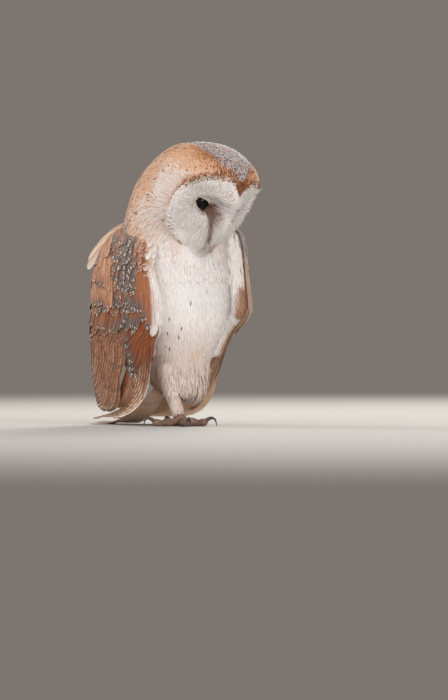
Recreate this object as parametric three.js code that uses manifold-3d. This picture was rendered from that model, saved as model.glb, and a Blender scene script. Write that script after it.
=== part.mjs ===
// A life-size barn owl, standing on its right leg with the left foot drawn up and its head bowed.
// Millimetres, +Z up. The owl faces -Y and its own left side is +X. The floor is z = 0, and the origin is
// the middle of the owl's footprint.
// Every shape below is written in owl coordinates: x to the owl's left, f forward (that is -Y), z up.

import * as THREE from "three";
import { mergeVertices } from "three/addons/utils/BufferGeometryUtils.js";
import Module from "manifold-3d";

const wasm = await Module();
wasm.setup();

// ---------------------------------------------------------------- driving dimensions

const GAP = 0.35; // clearance that separate solids keep where they meet
const SLIVER = 0.1; // cuts leave facets thinner than this, which are merged into their neighbours
const RIGHT = -1; // sign of x on the owl's right side
const LEFT = 1;

// The head: its centre, how far it bows, turns to the owl's right and tips to the owl's left.
const HEAD = {
  f: 39.6,
  z: 213.3,
  bow: THREE.MathUtils.degToRad(30),
  turn: THREE.MathUtils.degToRad(-6),
  tip: THREE.MathUtils.degToRad(8),
};

// The skull under its feathers: reach each way from a middle set a little forward of the head's centre.
const SKULL = {
  middleF: 3,
  halfWidth: 48,
  front: 44,
  back: 44.5,
  up: 49.6,
  down: 46,
  roundness: 2.5,
};

// The facial disc: a heart-shaped dish. Its outline is a radius about a point just below the eyes, by the
// angle from straight up. Rows are [degrees, radius].
const DISC = {
  centreU: -5,
  outline: [
    [0, 33],
    [8, 42],
    [20, 45.5],
    [38, 49],
    [56, 51],
    [76, 50],
    [96, 47.3],
    [116, 43.6],
    [134, 41],
    [150, 40.6],
    [166, 42.4],
    [180, 43.5],
  ],
  ridge: [
    [-50, 28],
    [-40, 35],
    [-32, 39.5],
    [-15, 44.5],
    [5, 46],
    [28, 43.6],
    [46, 38],
  ], // how far forward the middle ridge stands, by height
  sweep: 25, // how much further back the rim is than the ridge, this far from the middle
  sweepAt: 48,
  crest: 5, // height of the broad crest between the eyes, and its half width
  crestWidth: 9.5,
  bowl: 5, // depth of the bowl round each eye
  rim: 2.6, // how far the ruff stands proud of the dish
  thickness: 15,
};

const EYE = { x: 19, f: 21.6, u: 3.4, radius: 8.2, opening: 7.2, openingF: 28 };
const BILL = { topU: -20, tipU: -37, base: 38, width: 4.6, reach: 6.5 };

// Trunk and neck, from the belly's fluff up to inside the head.
// Rows are [z, centre f, forward lean in degrees, half width, reach to the front, reach to the back].
const TORSO = [
  [26, 12, 0, 4, 4, 5],
  [30, 10, 0, 14, 14, 22],
  [38, 8, 0, 20, 20, 34],
  [49, 6, 0, 24, 24.5, 43],
  [62, 4, 0, 29.5, 31, 51],
  [75, 3, 0, 36, 37, 55],
  [92, 2, 0, 44, 42.5, 57],
  [120, 0, 0, 49, 45, 57],
  [145, -1, 0, 50, 46, 56],
  [168, -1, 4, 48.5, 46, 54],
  [188, 4, 14, 46, 45, 53],
  [205, 12, 28, 44, 42, 52],
  [218, 22, 42, 40.5, 38, 47],
  [228, 33, 56, 35, 33, 40.5],
  [232, 41, 66, 28, 27, 33],
];
const TORSO_ROUNDNESS = 2.25;
const NECK_CUT_Z = 181; // height of the thin cut between trunk and neck, at the middle
const NECK_CUT_TILT = THREE.MathUtils.degToRad(12);

// The folded wings, as level slices that run back along the side and round behind the back: the left
// one is held higher and further forward at the shoulder.
// Rows are [z, leading edge f, trailing edge f, outer x, inner x behind the back, thickness].
const WING_RIGHT = [
  [187, -10, -41.3, 33, 16, 4],
  [179, 8, -48.7, 42, 15, 8],
  [166, 17, -57.4, 49, 14, 11],
  [144, 24, -65.7, 55, 13, 12],
  [120, 31, -69.1, 57, 12, 12],
  [100, 34, -72.8, 57, 12, 11],
  [87, 32, -75.4, 56, 12, 9.5],
  [77, 20.4, -76.4, 54, 12.5, 8.5],
  [62, 15, -75.6, 52, 14, 7.5],
  [52, 6, -75, 50, 15, 6],
  [38, -7.7, -75, 47, 18, 4.5],
  [26, -19, -74.5, 44.5, 22, 3.6],
  [18, -31.5, -71.5, 42, 26, 3],
  [13, -42.5, -61, 40.5, 31, 2.4],
];
const WING_LEFT = [
  [189, 18, -40, 38, 16, 4],
  [182, 36, -47, 46, 15, 9],
  [166, 38, -57, 54, 14, 12],
  [145, 38, -65, 57, 13, 13],
  [120, 39.5, -69, 58.5, 12, 12.5],
  [105, 40, -72, 58.5, 12, 12],
  [96, 31, -73.5, 58, 12, 11],
  [86, 19, -75.4, 57, 12, 9.5],
  [68, 11, -76, 53, 13.5, 7.5],
  [52, 6, -75, 50, 15, 6],
  [38, 1.5, -75, 47, 18, 4.5],
  [26, -4, -74.5, 44.5, 22, 3.6],
  [18, -13, -71.5, 42, 26, 3],
  [13, -24, -61, 40.5, 31, 2.4],
];
const WING_WRAP = 5; // how far the leading edge curls in to the body
const WING_CORNER = { from: 0.45, roundness: 4 }; // where the turn behind the back begins, and its shape

// The long flight feathers of a wing, from under the coverts down and back to the floor. Rows are
// [x, f, z, half width, half thickness, turn of the blade from upright to flat in degrees, and how much
// further back the left wing's lie].
const PRIMARIES = [
  [50, 13, 71, 12, 1.8, 0, 17],
  [48.5, 7, 54, 15, 2, 2, 17],
  [45.5, 0, 40, 16.5, 2.2, 8, 15],
  [41.5, -12, 27, 16.5, 2.2, 24, 12],
  [36, -31, 17, 14.5, 2, 46, 7],
  [29.5, -57, 11, 12, 1.8, 68, 3],
  [22, -82, 8, 9, 1.5, 82, 0],
  [15, -100, 6.2, 5.5, 1.1, 90, 0],
  [12, -108, 5.8, 2, 0.7, 90, 0],
];

// The tail, laid back on the floor and flat underneath there. Rows are [f, z of its middle, half width,
// half thickness].
const TAIL = [
  [-22, 38, 11, 4],
  [-34, 26, 16, 3.6],
  [-48, 14, 20, 2.6],
  [-64, 5.6, 22, 1.8],
  [-82, 1, 24, 1.8],
  [-98, 0.9, 24.5, 1.6],
  [-106, 0.7, 20, 1.4],
  [-111, 0.5, 11, 1.2],
];

// Ruffled shoulder feathers that stand out from the back of the right wing, as leaf shapes.
// Each has its root, its tip, its half width and its thickness.
const SCAPULARS = [
  { root: [-33, -32, 182], tip: [-38, -70, 164], halfWidth: 11, thickness: 3.4 },
  { root: [-38, -36, 174], tip: [-43, -77, 150], halfWidth: 13, thickness: 3.4 },
];

// Legs. Rows are [x, f, z, radius] down the feathered shank.
const STANDING_LEG = [
  [-16.5, 9, 52, 12],
  [-16, 12.5, 38, 9],
  [-16, 15.5, 25, 7],
  [-15.5, 19.5, 14, 6.3],
  [-15.5, 22.5, 8, 6],
];
const DRAWN_UP_LEG = [
  [10, 2, 47, 6.5],
  [9.5, 9, 44, 5.6],
  [9, 15, 41, 5],
];
const FOOT = { x: -15.5, f: 24, z: 6.2, radius: 6.6 };
const FIST = { x: 9, f: 18, z: 38, radius: 5.4, spread: 4.6, curl: 5.6, toe: 2.6 };
const POCKET = { f: 20, z: 33, reach: [12.5, 14, 15] };

// Toes: heading from straight ahead (positive to the owl's left), length, and radius at the root and end.
const TOES = [
  { name: "hind", heading: 172, length: 17, root: 3.9, end: 3.2, claw: 13 },
  { name: "inner", heading: 27, length: 24, root: 4.1, end: 3.3, claw: 15 },
  { name: "middle", heading: -26, length: 27, root: 4.1, end: 3.3, claw: 15.5 },
  { name: "outer", heading: -104, length: 25, root: 3.9, end: 3.1, claw: 14.5 },
];
const CLAW_RADIUS = 2.1;

// ---------------------------------------------------------------- colours

const finish = (color, roughness) =>
  new THREE.MeshStandardMaterial({ color, roughness, metalness: 0 });
const WHITE_DOWN = finish(0xe9e1dc, 0.9);
const BUFF = finish(0xd9a274, 0.85);
const TAWNY = finish(0xb9825a, 0.8);
const HORN = finish(0x3a302c, 0.35);
const BILL_IVORY = finish(0xcbb3a4, 0.45);
const TOE_SKIN = finish(0x8d6654, 0.6);
const EYE_BLACK = finish(0x0b0706, 0.08);

// ---------------------------------------------------------------- small maths

const owl = (x, f, z) => new THREE.Vector3(x, -f, z);
const signedPower = (value, power) =>
  Math.sign(value) * Math.pow(Math.abs(value), power);

// The row of a table at a place along its first column, every column read on a smooth cubic through
// its neighbours.
function tableRow(rows, at) {
  const first = rows[0][0];
  const rising = rows[rows.length - 1][0] > first;
  const before = (row) => (rising ? row[0] <= at : row[0] >= at);
  let i = 0;
  while (i < rows.length - 2 && before(rows[i + 1])) i += 1;
  const [a, b] = [rows[i], rows[i + 1]];
  const [p, n] = [rows[Math.max(i - 1, 0)], rows[Math.min(i + 2, rows.length - 1)]];
  const t = THREE.MathUtils.clamp((at - a[0]) / (b[0] - a[0]), 0, 1);
  return a.map((value, k) => {
    const span = b[0] - a[0];
    const slopeA = (b[k] - p[k]) / (b[0] - p[0] || span);
    const slopeB = (n[k] - a[k]) / (n[0] - a[0] || span);
    const t2 = t * t;
    const t3 = t2 * t;
    return (
      (2 * t3 - 3 * t2 + 1) * value +
      (t3 - 2 * t2 + t) * span * slopeA +
      (3 * t2 - 2 * t3) * b[k] +
      (t3 - t2) * span * slopeB
    );
  });
}

// The same, by a share from 0 to 1 of the table's length counted in rows.
function tableShare(rows, share) {
  const numbered = rows.map((row, i) => [i / (rows.length - 1), ...row]);
  return tableRow(numbered, share).slice(1);
}

// ---------------------------------------------------------------- surfaces and solids

// A closed surface through rings of equal length. Each end is capped by strips from side to side.
function closedSurface(rings) {
  const count = rings[0].length;
  const top = (rings.length - 1) * count;
  const index = [];
  for (let i = 0; i < count; i += 1) {
    const j = (i + 1) % count;
    for (let r = 0; r < top; r += count)
      index.push(r + i, r + j, r + count + j, r + i, r + count + j, r + count + i);
  }
  for (let i = 0; i + 1 < count - 1 - i; i += 1) {
    const [a, b, c, d] = [i, i + 1, count - 2 - i, count - 1 - i];
    index.push(a, d, b, top + a, top + b, top + d);
    if (b < c) index.push(b, d, c, top + b, top + c, top + d);
  }
  return facingOut(rings.flat(), index);
}

// Geometry from points and triangles, turned round if its faces point inwards.
function facingOut(points, index) {
  let volume = 0;
  for (let i = 0; i < index.length; i += 3) {
    const [a, b, c] = [points[index[i]], points[index[i + 1]], points[index[i + 2]]];
    volume += a.dot(b.clone().cross(c));
  }
  if (volume < 0)
    for (let i = 0; i < index.length; i += 3)
      [index[i + 1], index[i + 2]] = [index[i + 2], index[i + 1]];
  return new THREE.BufferGeometry().setFromPoints(points).setIndex(index);
}

function solid(geometry) {
  const bare = geometry.clone();
  bare.deleteAttribute("normal");
  bare.deleteAttribute("uv");
  const merged = mergeVertices(bare, 1e-4);
  return new wasm.Manifold(
    new wasm.Mesh({
      numProp: 3,
      vertProperties: merged.attributes.position.array,
      triVerts: new Uint32Array(merged.index.array),
    }),
  );
}

function geometryOf(made) {
  const mesh = made.getMesh();
  return new THREE.BufferGeometry()
    .setAttribute("position", new THREE.BufferAttribute(mesh.vertProperties, 3))
    .setIndex(new THREE.BufferAttribute(mesh.triVerts, 1));
}

// The largest of the bodies a cut leaves, so that no sliver stays.
function mainBody(made) {
  return made
    .decompose()
    .reduce((best, body) => (body.volume() > best.volume() ? body : best));
}

// A tube of changing radius through rows of [x, f, z, radius], with rounded ends.
function tube(rows, steps, sides, grow = 0) {
  const curve = new THREE.CatmullRomCurve3(rows.map(([x, f, z]) => owl(x, f, z)));
  const rings = [];
  for (let i = 0; i <= steps; i += 1) {
    const share = i / steps;
    const radius = tableShare(rows, share)[3] + grow;
    const centre = curve.getPoint(share);
    const along = curve.getTangent(share);
    const side = new THREE.Vector3(1, 0, 0).cross(along).normalize();
    const other = along.clone().cross(side);
    const ring = (scale, push) =>
      Array.from({ length: sides }, (_, k) => {
        const turn = (k / sides) * 2 * Math.PI;
        return centre
          .clone()
          .addScaledVector(along, push)
          .addScaledVector(side, Math.cos(turn) * radius * scale)
          .addScaledVector(other, Math.sin(turn) * radius * scale);
      });
    if (i === 0) rings.push(ring(0.6, -0.75 * radius));
    rings.push(ring(1, 0));
    if (i === steps) rings.push(ring(0.6, 0.75 * radius));
  }
  return closedSurface(rings);
}

// ---------------------------------------------------------------- head

const headTurn = new THREE.Matrix4()
  .makeRotationZ(HEAD.turn)
  .multiply(new THREE.Matrix4().makeRotationX(HEAD.bow))
  .multiply(new THREE.Matrix4().makeRotationY(HEAD.tip));

// A point given in the head's own directions: x left, f along the gaze, u towards the crown.
function headPoint(x, f, u) {
  return owl(x, f, u).applyMatrix4(headTurn).add(owl(0, HEAD.f, HEAD.z));
}

// The skull with its feathers: a rounded box with its own reach each way.
function skull(grow = 0) {
  const levels = 12;
  const sides = 20;
  const power = SKULL.roundness;
  const rings = [];
  for (let i = 1; i < levels; i += 1) {
    const tilt = (i / levels) * Math.PI;
    const f = Math.cos(tilt);
    rings.push(
      Array.from({ length: sides }, (_, k) => {
        const round = (k / sides) * 2 * Math.PI;
        const x = Math.sin(tilt) * Math.sin(round);
        const u = Math.sin(tilt) * Math.cos(round);
        const sum =
          Math.pow(Math.abs(x) / SKULL.halfWidth, power) +
          Math.pow(Math.abs(f) / (f > 0 ? SKULL.front : SKULL.back), power) +
          Math.pow(Math.abs(u) / (u > 0 ? SKULL.up : SKULL.down), power);
        const radius = Math.pow(sum, -1 / power) + grow;
        return headPoint(x * radius, SKULL.middleF + f * radius, u * radius);
      }),
    );
  }
  return closedSurface(rings);
}

// How far forward the dish's face stands at a place across (x) and up (u) the face.
function dishFace(x, u) {
  const across = Math.abs(x);
  const [, ridge] = tableRow(DISC.ridge, THREE.MathUtils.clamp(u, -50, 46));
  const sweep = DISC.sweep * Math.pow(across / DISC.sweepAt, 1.5);
  const crest = DISC.crest * (1 - Math.exp(-Math.pow(across / DISC.crestWidth, 4)));
  const bowl =
    DISC.bowl * Math.exp(-Math.pow((across - 24) / 11, 2) - Math.pow((u + 3) / 24, 2));
  return ridge - crest - sweep - bowl;
}

// A ring that follows the disc's outline at a share of its size, lifted off the dish's face.
function dishRing(share, lift, grow = 0) {
  const sides = 26;
  return Array.from({ length: sides }, (_, k) => {
    const round = (k / sides) * 2 * Math.PI;
    const fromUp = Math.abs(((round + Math.PI) % (2 * Math.PI)) - Math.PI);
    const [, outline] = tableRow(DISC.outline, THREE.MathUtils.radToDeg(fromUp));
    const radius = (outline + grow) * share;
    const x = radius * Math.sin(round);
    const u = DISC.centreU + radius * Math.cos(round);
    return headPoint(x, dishFace(x, u) + lift, u);
  });
}

const DISH_SHARES = [0.08, 0.22, 0.4, 0.66, 0.9];
const dishLift = (share) => DISC.rim * Math.pow(share, 8);

// The dish as a plate of even thickness.
function facialDisc(grow = 0) {
  const face = DISH_SHARES.map((share) => dishRing(share, dishLift(share) + grow, grow));
  return closedSurface([
    ...face,
    dishRing(1, DISC.rim - 2.5, grow),
    dishRing(0.97, DISC.rim - 7 - grow, grow),
    dishRing(0.8, -DISC.thickness - grow, grow),
    dishRing(0.1, -DISC.thickness - grow, grow),
  ]);
}

// Everything in front of the face and of the rim carried on outwards.
function openFront() {
  const face = DISH_SHARES.map((share) => dishRing(share, dishLift(share)));
  return closedSurface([...face, dishRing(1, 0), dishRing(1.7, 0), dishRing(1.7, 90)]);
}

function eyeball(side, grow = 0) {
  return new THREE.SphereGeometry(EYE.radius + grow, 12, 7).translate(
    ...headPoint(side * EYE.x, EYE.f, EYE.u).toArray(),
  );
}

// The round opening between the lids.
function eyeOpening(side) {
  return new THREE.SphereGeometry(EYE.opening, 12, 6).translate(
    ...headPoint(side * EYE.x, EYE.openingF, EYE.u).toArray(),
  );
}

// The hooked bill's visible end, from the bristles down to the tip.
function bill(grow = 0) {
  const steps = 7;
  const sides = 10;
  return closedSurface(
    Array.from({ length: steps + 1 }, (_, i) => {
      const share = i / steps;
      const u = BILL.topU + (BILL.tipU - BILL.topU) * share;
      const width = BILL.width * Math.sqrt(1 - 0.92 * share * share) + grow;
      const culmen = BILL.reach * Math.sin((0.2 + 0.62 * share) * Math.PI) + grow;
      const under = 7 * (1 - 0.8 * share) + grow;
      return Array.from({ length: sides }, (_, k) => {
        const round = (k / sides) * 2 * Math.PI;
        const reach = Math.cos(round) > 0 ? culmen : under;
        return headPoint(width * Math.sin(round), BILL.base + reach * Math.cos(round), u);
      });
    }),
  );
}

// ---------------------------------------------------------------- trunk and neck

// The torso's ring at a share of its length. Its plane leans forward as the neck does.
function torsoRing(share, sides, grow) {
  const [z, f, leanDegrees, half, front, back] = tableShare(TORSO, share);
  const lean = THREE.MathUtils.degToRad(leanDegrees);
  return Array.from({ length: sides }, (_, k) => {
    const round = (k / sides) * 2 * Math.PI;
    const x = (half + grow) * signedPower(Math.sin(round), 2 / TORSO_ROUNDNESS);
    const reach = Math.cos(round) > 0 ? front + grow : back + grow;
    const q = reach * signedPower(Math.cos(round), 2 / TORSO_ROUNDNESS);
    return owl(x, f + q * Math.cos(lean), z - q * Math.sin(lean));
  });
}

function torso(grow = 0) {
  const levels = 18;
  return closedSurface(
    Array.from({ length: levels + 1 }, (_, i) => torsoRing(i / levels, 22, grow)),
  );
}

// A block that holds everything above the neck's cut, raised by a little to leave the gap.
function aboveNeckCut(raise) {
  const block = new THREE.BoxGeometry(300, 300, 200);
  block.translate(0, 0, 100 + raise);
  block.rotateX(NECK_CUT_TILT);
  block.translate(0, 0, NECK_CUT_Z);
  return solid(block);
}

// ---------------------------------------------------------------- wings

// One level slice of a wing: out along its outer face from front to back, then in along its inner face.
function wingSlice([z, lead, trail, outer, inner, thickness], side, grow) {
  const [along, turning] = [4, 4];
  const corner = lead + WING_CORNER.from * (trail - lead);
  const power = 2 / WING_CORNER.roundness;
  const sidePoint = (s, depth) => {
    const x = outer - WING_WRAP * Math.pow(1 - s, 4) + grow - depth;
    return [x, lead + grow + (corner - lead - grow) * s];
  };
  const backPoint = (s, depth) => {
    const turn = s * 0.5 * Math.PI;
    const [reachX, reachF] = [outer - inner + grow - depth, corner - trail + grow - depth];
    return [
      inner + reachX * Math.pow(Math.cos(turn), power),
      corner - reachF * Math.pow(Math.sin(turn), power),
    ];
  };
  const at = (i, isInner) => {
    const depth = isInner ? thickness + 2 * grow : 0;
    const s = i < along ? i / along : (i - along) / turning;
    const [x, f] =
      i < along
        ? sidePoint(s, depth * (0.15 + 0.85 * Math.sqrt(s)))
        : backPoint(s, depth * (1 - 0.65 * s * s));
    return owl(side * Math.max(x, inner - grow), f, z);
  };
  const last = along + turning;
  const outward = Array.from({ length: last + 1 }, (_, i) => at(i, false));
  const inward = Array.from({ length: last + 1 }, (_, i) => at(last - i, true));
  return [...outward, ...inward];
}

function wing(side, grow = 0) {
  const levels = 13;
  const rows = side === RIGHT ? WING_RIGHT : WING_LEFT;
  return closedSurface(
    Array.from({ length: levels + 1 }, (_, i) =>
      wingSlice(tableShare(rows, i / levels), side, grow),
    ),
  );
}

// The bundle of long flight feathers, a flat blade that turns from upright to lying on the tail.
function primaries(side, grow = 0) {
  const steps = 13;
  const sides = 10;
  const rows = PRIMARIES.map(([x, f, z, half, thick, turn, setBack]) => [
    side * x,
    side === LEFT ? f - setBack : f,
    z,
    half,
    thick,
    turn,
  ]);
  const curve = new THREE.CatmullRomCurve3(rows.map(([x, f, z]) => owl(x, f, z)));
  const rings = [];
  for (let i = 0; i <= steps; i += 1) {
    const share = i / steps;
    const [, , , half, thick, turnDegrees] = tableShare(rows, share);
    const turn = THREE.MathUtils.degToRad(turnDegrees);
    const along = curve.getTangent(share);
    const outward = new THREE.Vector3(side, 0, 0);
    outward.addScaledVector(along, -outward.dot(along)).normalize();
    const upright = along.clone().cross(outward);
    const across = upright
      .clone()
      .multiplyScalar(-Math.cos(turn) * Math.sign(upright.y))
      .addScaledVector(outward, Math.sin(turn));
    const through = along.clone().cross(across).normalize();
    const centre = curve.getPoint(share);
    rings.push(
      Array.from({ length: sides }, (_, k) => {
        const round = (k / sides) * 2 * Math.PI;
        return centre
          .clone()
          .addScaledVector(across, (half + grow) * Math.cos(round))
          .addScaledVector(through, (thick + grow) * signedPower(Math.sin(round), 0.7));
      }),
    );
  }
  return closedSurface(rings);
}

function tail(grow = 0) {
  const steps = 11;
  const rings = [];
  for (let i = 0; i <= steps; i += 1) {
    const [f, z, half, thick] = tableShare(TAIL, i / steps);
    rings.push(
      Array.from({ length: 16 }, (_, k) => {
        const round = (k / 16) * 2 * Math.PI;
        const lift = (thick + grow) * signedPower(Math.sin(round), 0.6);
        return owl((half + grow) * Math.cos(round), f, Math.max(z + lift, 0));
      }),
    );
  }
  return closedSurface(rings);
}

// A leaf-shaped feather solid from root to tip, broad in the middle.
function leaf({ root, tip, halfWidth, thickness }, grow = 0) {
  const [start, end] = [owl(...root), owl(...tip)];
  const along = end.clone().sub(start).normalize();
  const across = along.clone().cross(new THREE.Vector3(1, 0, 0)).normalize();
  const through = along.clone().cross(across);
  const steps = 7;
  const rings = [];
  for (let i = 0; i <= steps; i += 1) {
    const s = i / steps;
    const half = halfWidth * (0.3 + 0.7 * Math.sin(Math.PI * (0.1 + 0.82 * s))) + grow;
    const rise = 3 * Math.sin(Math.PI * s);
    const thick = thickness * 0.5 * (1 - 0.6 * s) + grow;
    const centre = start
      .clone()
      .lerp(end, s)
      .addScaledVector(new THREE.Vector3(0, 0, 1), rise);
    const close = i === steps ? 0.45 : 1;
    rings.push(
      Array.from({ length: 10 }, (_, k) => {
        const round = (k / 10) * 2 * Math.PI;
        return centre
          .clone()
          .addScaledVector(across, half * close * Math.cos(round))
          .addScaledVector(through, thick * Math.sin(round));
      }),
    );
  }
  return closedSurface(rings);
}

// ---------------------------------------------------------------- legs and feet

const headingOf = (degrees) => {
  const turn = THREE.MathUtils.degToRad(degrees);
  return { x: Math.sin(turn), f: Math.cos(turn) };
};

// A toe flat on the floor: knuckles make it swell twice along its length.
function toeRows(toe) {
  const { x, f } = headingOf(toe.heading);
  return Array.from({ length: 6 }, (_, i) => {
    const s = i / 5;
    const radius = toe.root + (toe.end - toe.root) * s + 0.35 * Math.cos(s * 4 * Math.PI);
    const height = Math.max(1.6 * (1 - s * 2.2), 0) + radius * 0.92;
    return [FOOT.x + x * toe.length * s, FOOT.f + f * toe.length * s, height, radius];
  });
}

// A claw that arches from a point and comes down, as rows of [x, f, z, radius].
function clawRows(start, heading, length, rise, drop) {
  const { x, f } = headingOf(heading);
  return Array.from({ length: 6 }, (_, i) => {
    const s = i / 5;
    const reach = length * 0.78 * Math.sin(s * 0.5 * Math.PI);
    const height = rise * Math.sin(s * Math.PI) - drop * s * s;
    return [
      start[0] + x * reach,
      start[1] + f * reach,
      start[2] + height,
      CLAW_RADIUS * (1 - 0.86 * s),
    ];
  });
}

// The four toes of the foot that stands, joined to its ball.
function standingFoot(grow = 0) {
  const ball = new THREE.SphereGeometry(FOOT.radius + grow, 8, 5)
    .scale(1, 1, 0.8)
    .translate(FOOT.x, -FOOT.f, FOOT.z);
  return TOES.map((toe) => solid(tube(toeRows(toe), 4, 6, grow))).reduce(
    (made, toe) => made.add(toe),
    solid(ball),
  );
}

// The drawn-up foot is a loose fist: each toe curls down and back under the ball.
function fistToeRows(k) {
  const x = FIST.x + (k - 1) * FIST.spread;
  return Array.from({ length: 6 }, (_, i) => {
    const turn = (-0.1 + 1.25 * (i / 5)) * Math.PI;
    const f = FIST.f + 1 + FIST.curl * Math.cos(turn);
    return [x, f, FIST.z - 1 - FIST.curl * Math.sin(turn), FIST.toe];
  });
}

function drawnUpFoot(grow = 0) {
  const ball = new THREE.SphereGeometry(FIST.radius + grow, 8, 6).translate(
    FIST.x,
    -FIST.f,
    FIST.z,
  );
  return [0, 1, 2]
    .map((k) => solid(tube(fistToeRows(k), 3, 5, grow)))
    .reduce((made, toe) => made.add(toe), solid(ball));
}

// ---------------------------------------------------------------- putting the owl together

const group = new THREE.Group();
function addPart(name, made, material) {
  const mesh = new THREE.Mesh(geometryOf(mainBody(made).simplify(SLIVER)), material);
  mesh.name = name;
  group.add(mesh);
}

const floorBlock = (below) =>
  solid(new THREE.BoxGeometry(600, 600, 100).translate(0, 0, below - 50));
const underFloor = floorBlock(0);
const bothSides = [
  { side: RIGHT, name: "right" },
  { side: LEFT, name: "left" },
];

// Head, facial disc, eyes and bill.
const billGrown = solid(bill(GAP));
const eyesGrown = solid(eyeball(RIGHT, GAP)).add(solid(eyeball(LEFT, GAP)));
const lids = solid(eyeOpening(RIGHT)).add(solid(eyeOpening(LEFT)));
const discGrown = solid(facialDisc(GAP));
const openFace = solid(openFront()).add(discGrown).add(eyesGrown).add(billGrown);
addPart("head", solid(skull()).subtract(openFace), BUFF);
addPart(
  "facial_disc",
  solid(facialDisc()).subtract(billGrown).subtract(eyesGrown).subtract(lids),
  WHITE_DOWN,
);
addPart("bill", solid(bill()), BILL_IVORY);
for (const { side, name } of bothSides) addPart(`eye_${name}`, solid(eyeball(side)), EYE_BLACK);

// Trunk and neck: one torso, less the head and the pocket of the drawn-up foot, parted by a thin cut.
const headGrown = solid(skull(GAP)).add(discGrown);
const torsoGrown = solid(torso(GAP));
const tucked = solid(tube(DRAWN_UP_LEG, 4, 7));
const pocket = solid(
  new THREE.SphereGeometry(1, 12, 8)
    .scale(...POCKET.reach)
    .translate(FIST.x, -POCKET.f, POCKET.z),
);
const torsoCut = solid(torso())
  .subtract(headGrown)
  .subtract(pocket)
  .subtract(solid(tube(DRAWN_UP_LEG, 4, 7, GAP)));
addPart("trunk", torsoCut.subtract(aboveNeckCut(-GAP)), WHITE_DOWN);
addPart("neck", torsoCut.intersect(aboveNeckCut(0)), BUFF);

// The standing leg and foot, with its claws, all level with the floor.
const leg = solid(tube(STANDING_LEG, 7, 10)).subtract(torsoGrown).subtract(underFloor);
addPart("leg_right", leg, WHITE_DOWN);
let footSolid = standingFoot()
  .subtract(underFloor)
  .subtract(solid(tube(STANDING_LEG, 7, 10, GAP)));
for (const toe of TOES) {
  const { x, f } = headingOf(toe.heading);
  const reach = toe.length + 1.5;
  const height = toe.end * 0.92;
  const start = [FOOT.x + x * reach, FOOT.f + f * reach, height + 1.2];
  const rows = clawRows(start, toe.heading, toe.claw, 4.2, height + 0.9);
  addPart(`claw_right_${toe.name}`, solid(tube(rows, 6, 6)).subtract(underFloor), HORN);
  footSolid = footSolid.subtract(solid(tube(rows, 6, 6, GAP)));
}
addPart("foot_right", footSolid, TOE_SKIN);

// The drawn-up leg and foot.
let fistSolid = drawnUpFoot();
for (let k = 0; k < 3; k += 1) {
  const [x, f, z] = fistToeRows(k)[5];
  const rows = Array.from({ length: 5 }, (_, i) => {
    const s = i / 4;
    return [x, f - 0.5 + 5 * s, z - 1 - 6 * s * (1 - 0.4 * s), 1.7 * (1 - 0.8 * s)];
  });
  addPart(`claw_left_${k + 1}`, solid(tube(rows, 4, 6)), HORN);
  fistSolid = fistSolid.subtract(solid(tube(rows, 4, 6, GAP)));
}
addPart("foot_left", fistSolid, TOE_SKIN);
addPart("leg_left", tucked.subtract(drawnUpFoot(GAP)), WHITE_DOWN);

// Tail, wings and flight feathers. Each keeps clear of what it lies on.
addPart("tail", solid(tail()).subtract(torsoGrown), BUFF);
const inside = torsoGrown.add(headGrown).add(solid(tail(GAP)));
for (const { side, name } of bothSides) {
  const flight = solid(primaries(side)).subtract(inside).subtract(underFloor);
  const folded = solid(wing(side)).subtract(inside).subtract(solid(primaries(side, GAP)));
  addPart(`wing_${name}`, folded, TAWNY);
  addPart(`primaries_${name}`, flight, TAWNY);
}
const ruffled = SCAPULARS.map((shape) => solid(leaf(shape))).reduce((a, b) => a.add(b));
addPart(
  "scapulars_right",
  ruffled.subtract(torsoGrown).subtract(solid(wing(RIGHT, GAP))),
  BUFF,
);

// The origin moves to the middle of the footprint.
const footprint = new THREE.Box3().setFromObject(group).getCenter(new THREE.Vector3());
group.position.set(-footprint.x, -footprint.y, 0);

export default group;
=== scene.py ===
"""A life-size barn owl in all its feathers, resting on a pale floor.

Lengths in the shape code are millimetres in the owl's own directions: x to its left, f forward and z up.
A point is kept as (x, -f, z), which are the frame's own axes, and is moved onto the frame's origin and turned
to metres when it goes into a mesh.
"""

import logging
from dataclasses import dataclass, fields
from enum import Enum
from typing import Any, Callable, Iterator, Sequence

import bpy
import numpy as np
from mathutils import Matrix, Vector


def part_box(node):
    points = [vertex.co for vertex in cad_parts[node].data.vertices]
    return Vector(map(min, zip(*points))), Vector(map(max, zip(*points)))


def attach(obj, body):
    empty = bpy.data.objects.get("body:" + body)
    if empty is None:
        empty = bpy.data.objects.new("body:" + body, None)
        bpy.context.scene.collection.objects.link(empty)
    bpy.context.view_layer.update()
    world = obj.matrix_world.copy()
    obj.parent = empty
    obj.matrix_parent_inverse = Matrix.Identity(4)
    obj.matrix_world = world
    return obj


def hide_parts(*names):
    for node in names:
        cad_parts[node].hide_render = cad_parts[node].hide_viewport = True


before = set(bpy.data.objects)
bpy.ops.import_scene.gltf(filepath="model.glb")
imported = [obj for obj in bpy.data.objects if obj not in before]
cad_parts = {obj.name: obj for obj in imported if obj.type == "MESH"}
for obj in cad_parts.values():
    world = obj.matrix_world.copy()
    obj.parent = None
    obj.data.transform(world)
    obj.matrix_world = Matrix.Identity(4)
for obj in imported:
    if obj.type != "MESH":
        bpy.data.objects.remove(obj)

Array = np.ndarray
MM = 0.001
# Edge of a small patch of the flat map, for faces of one colour.
PATCH = 0.003
log = logging.getLogger("owl")


# ---------------------------------------------------------------- small maths


def unit(vectors: Array) -> Array:
    """The vectors at length one."""
    return vectors / np.maximum(np.linalg.norm(vectors, axis=-1, keepdims=True), 1e-9)


def ease(low: float, high: float, value: Array) -> Array:
    """0 below low, 1 above high, and 3t^2 - 2t^3 between."""
    share = np.clip((np.asarray(value, float) - low) / (high - low), 0, 1)
    return share * share * (3 - 2 * share)


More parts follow.
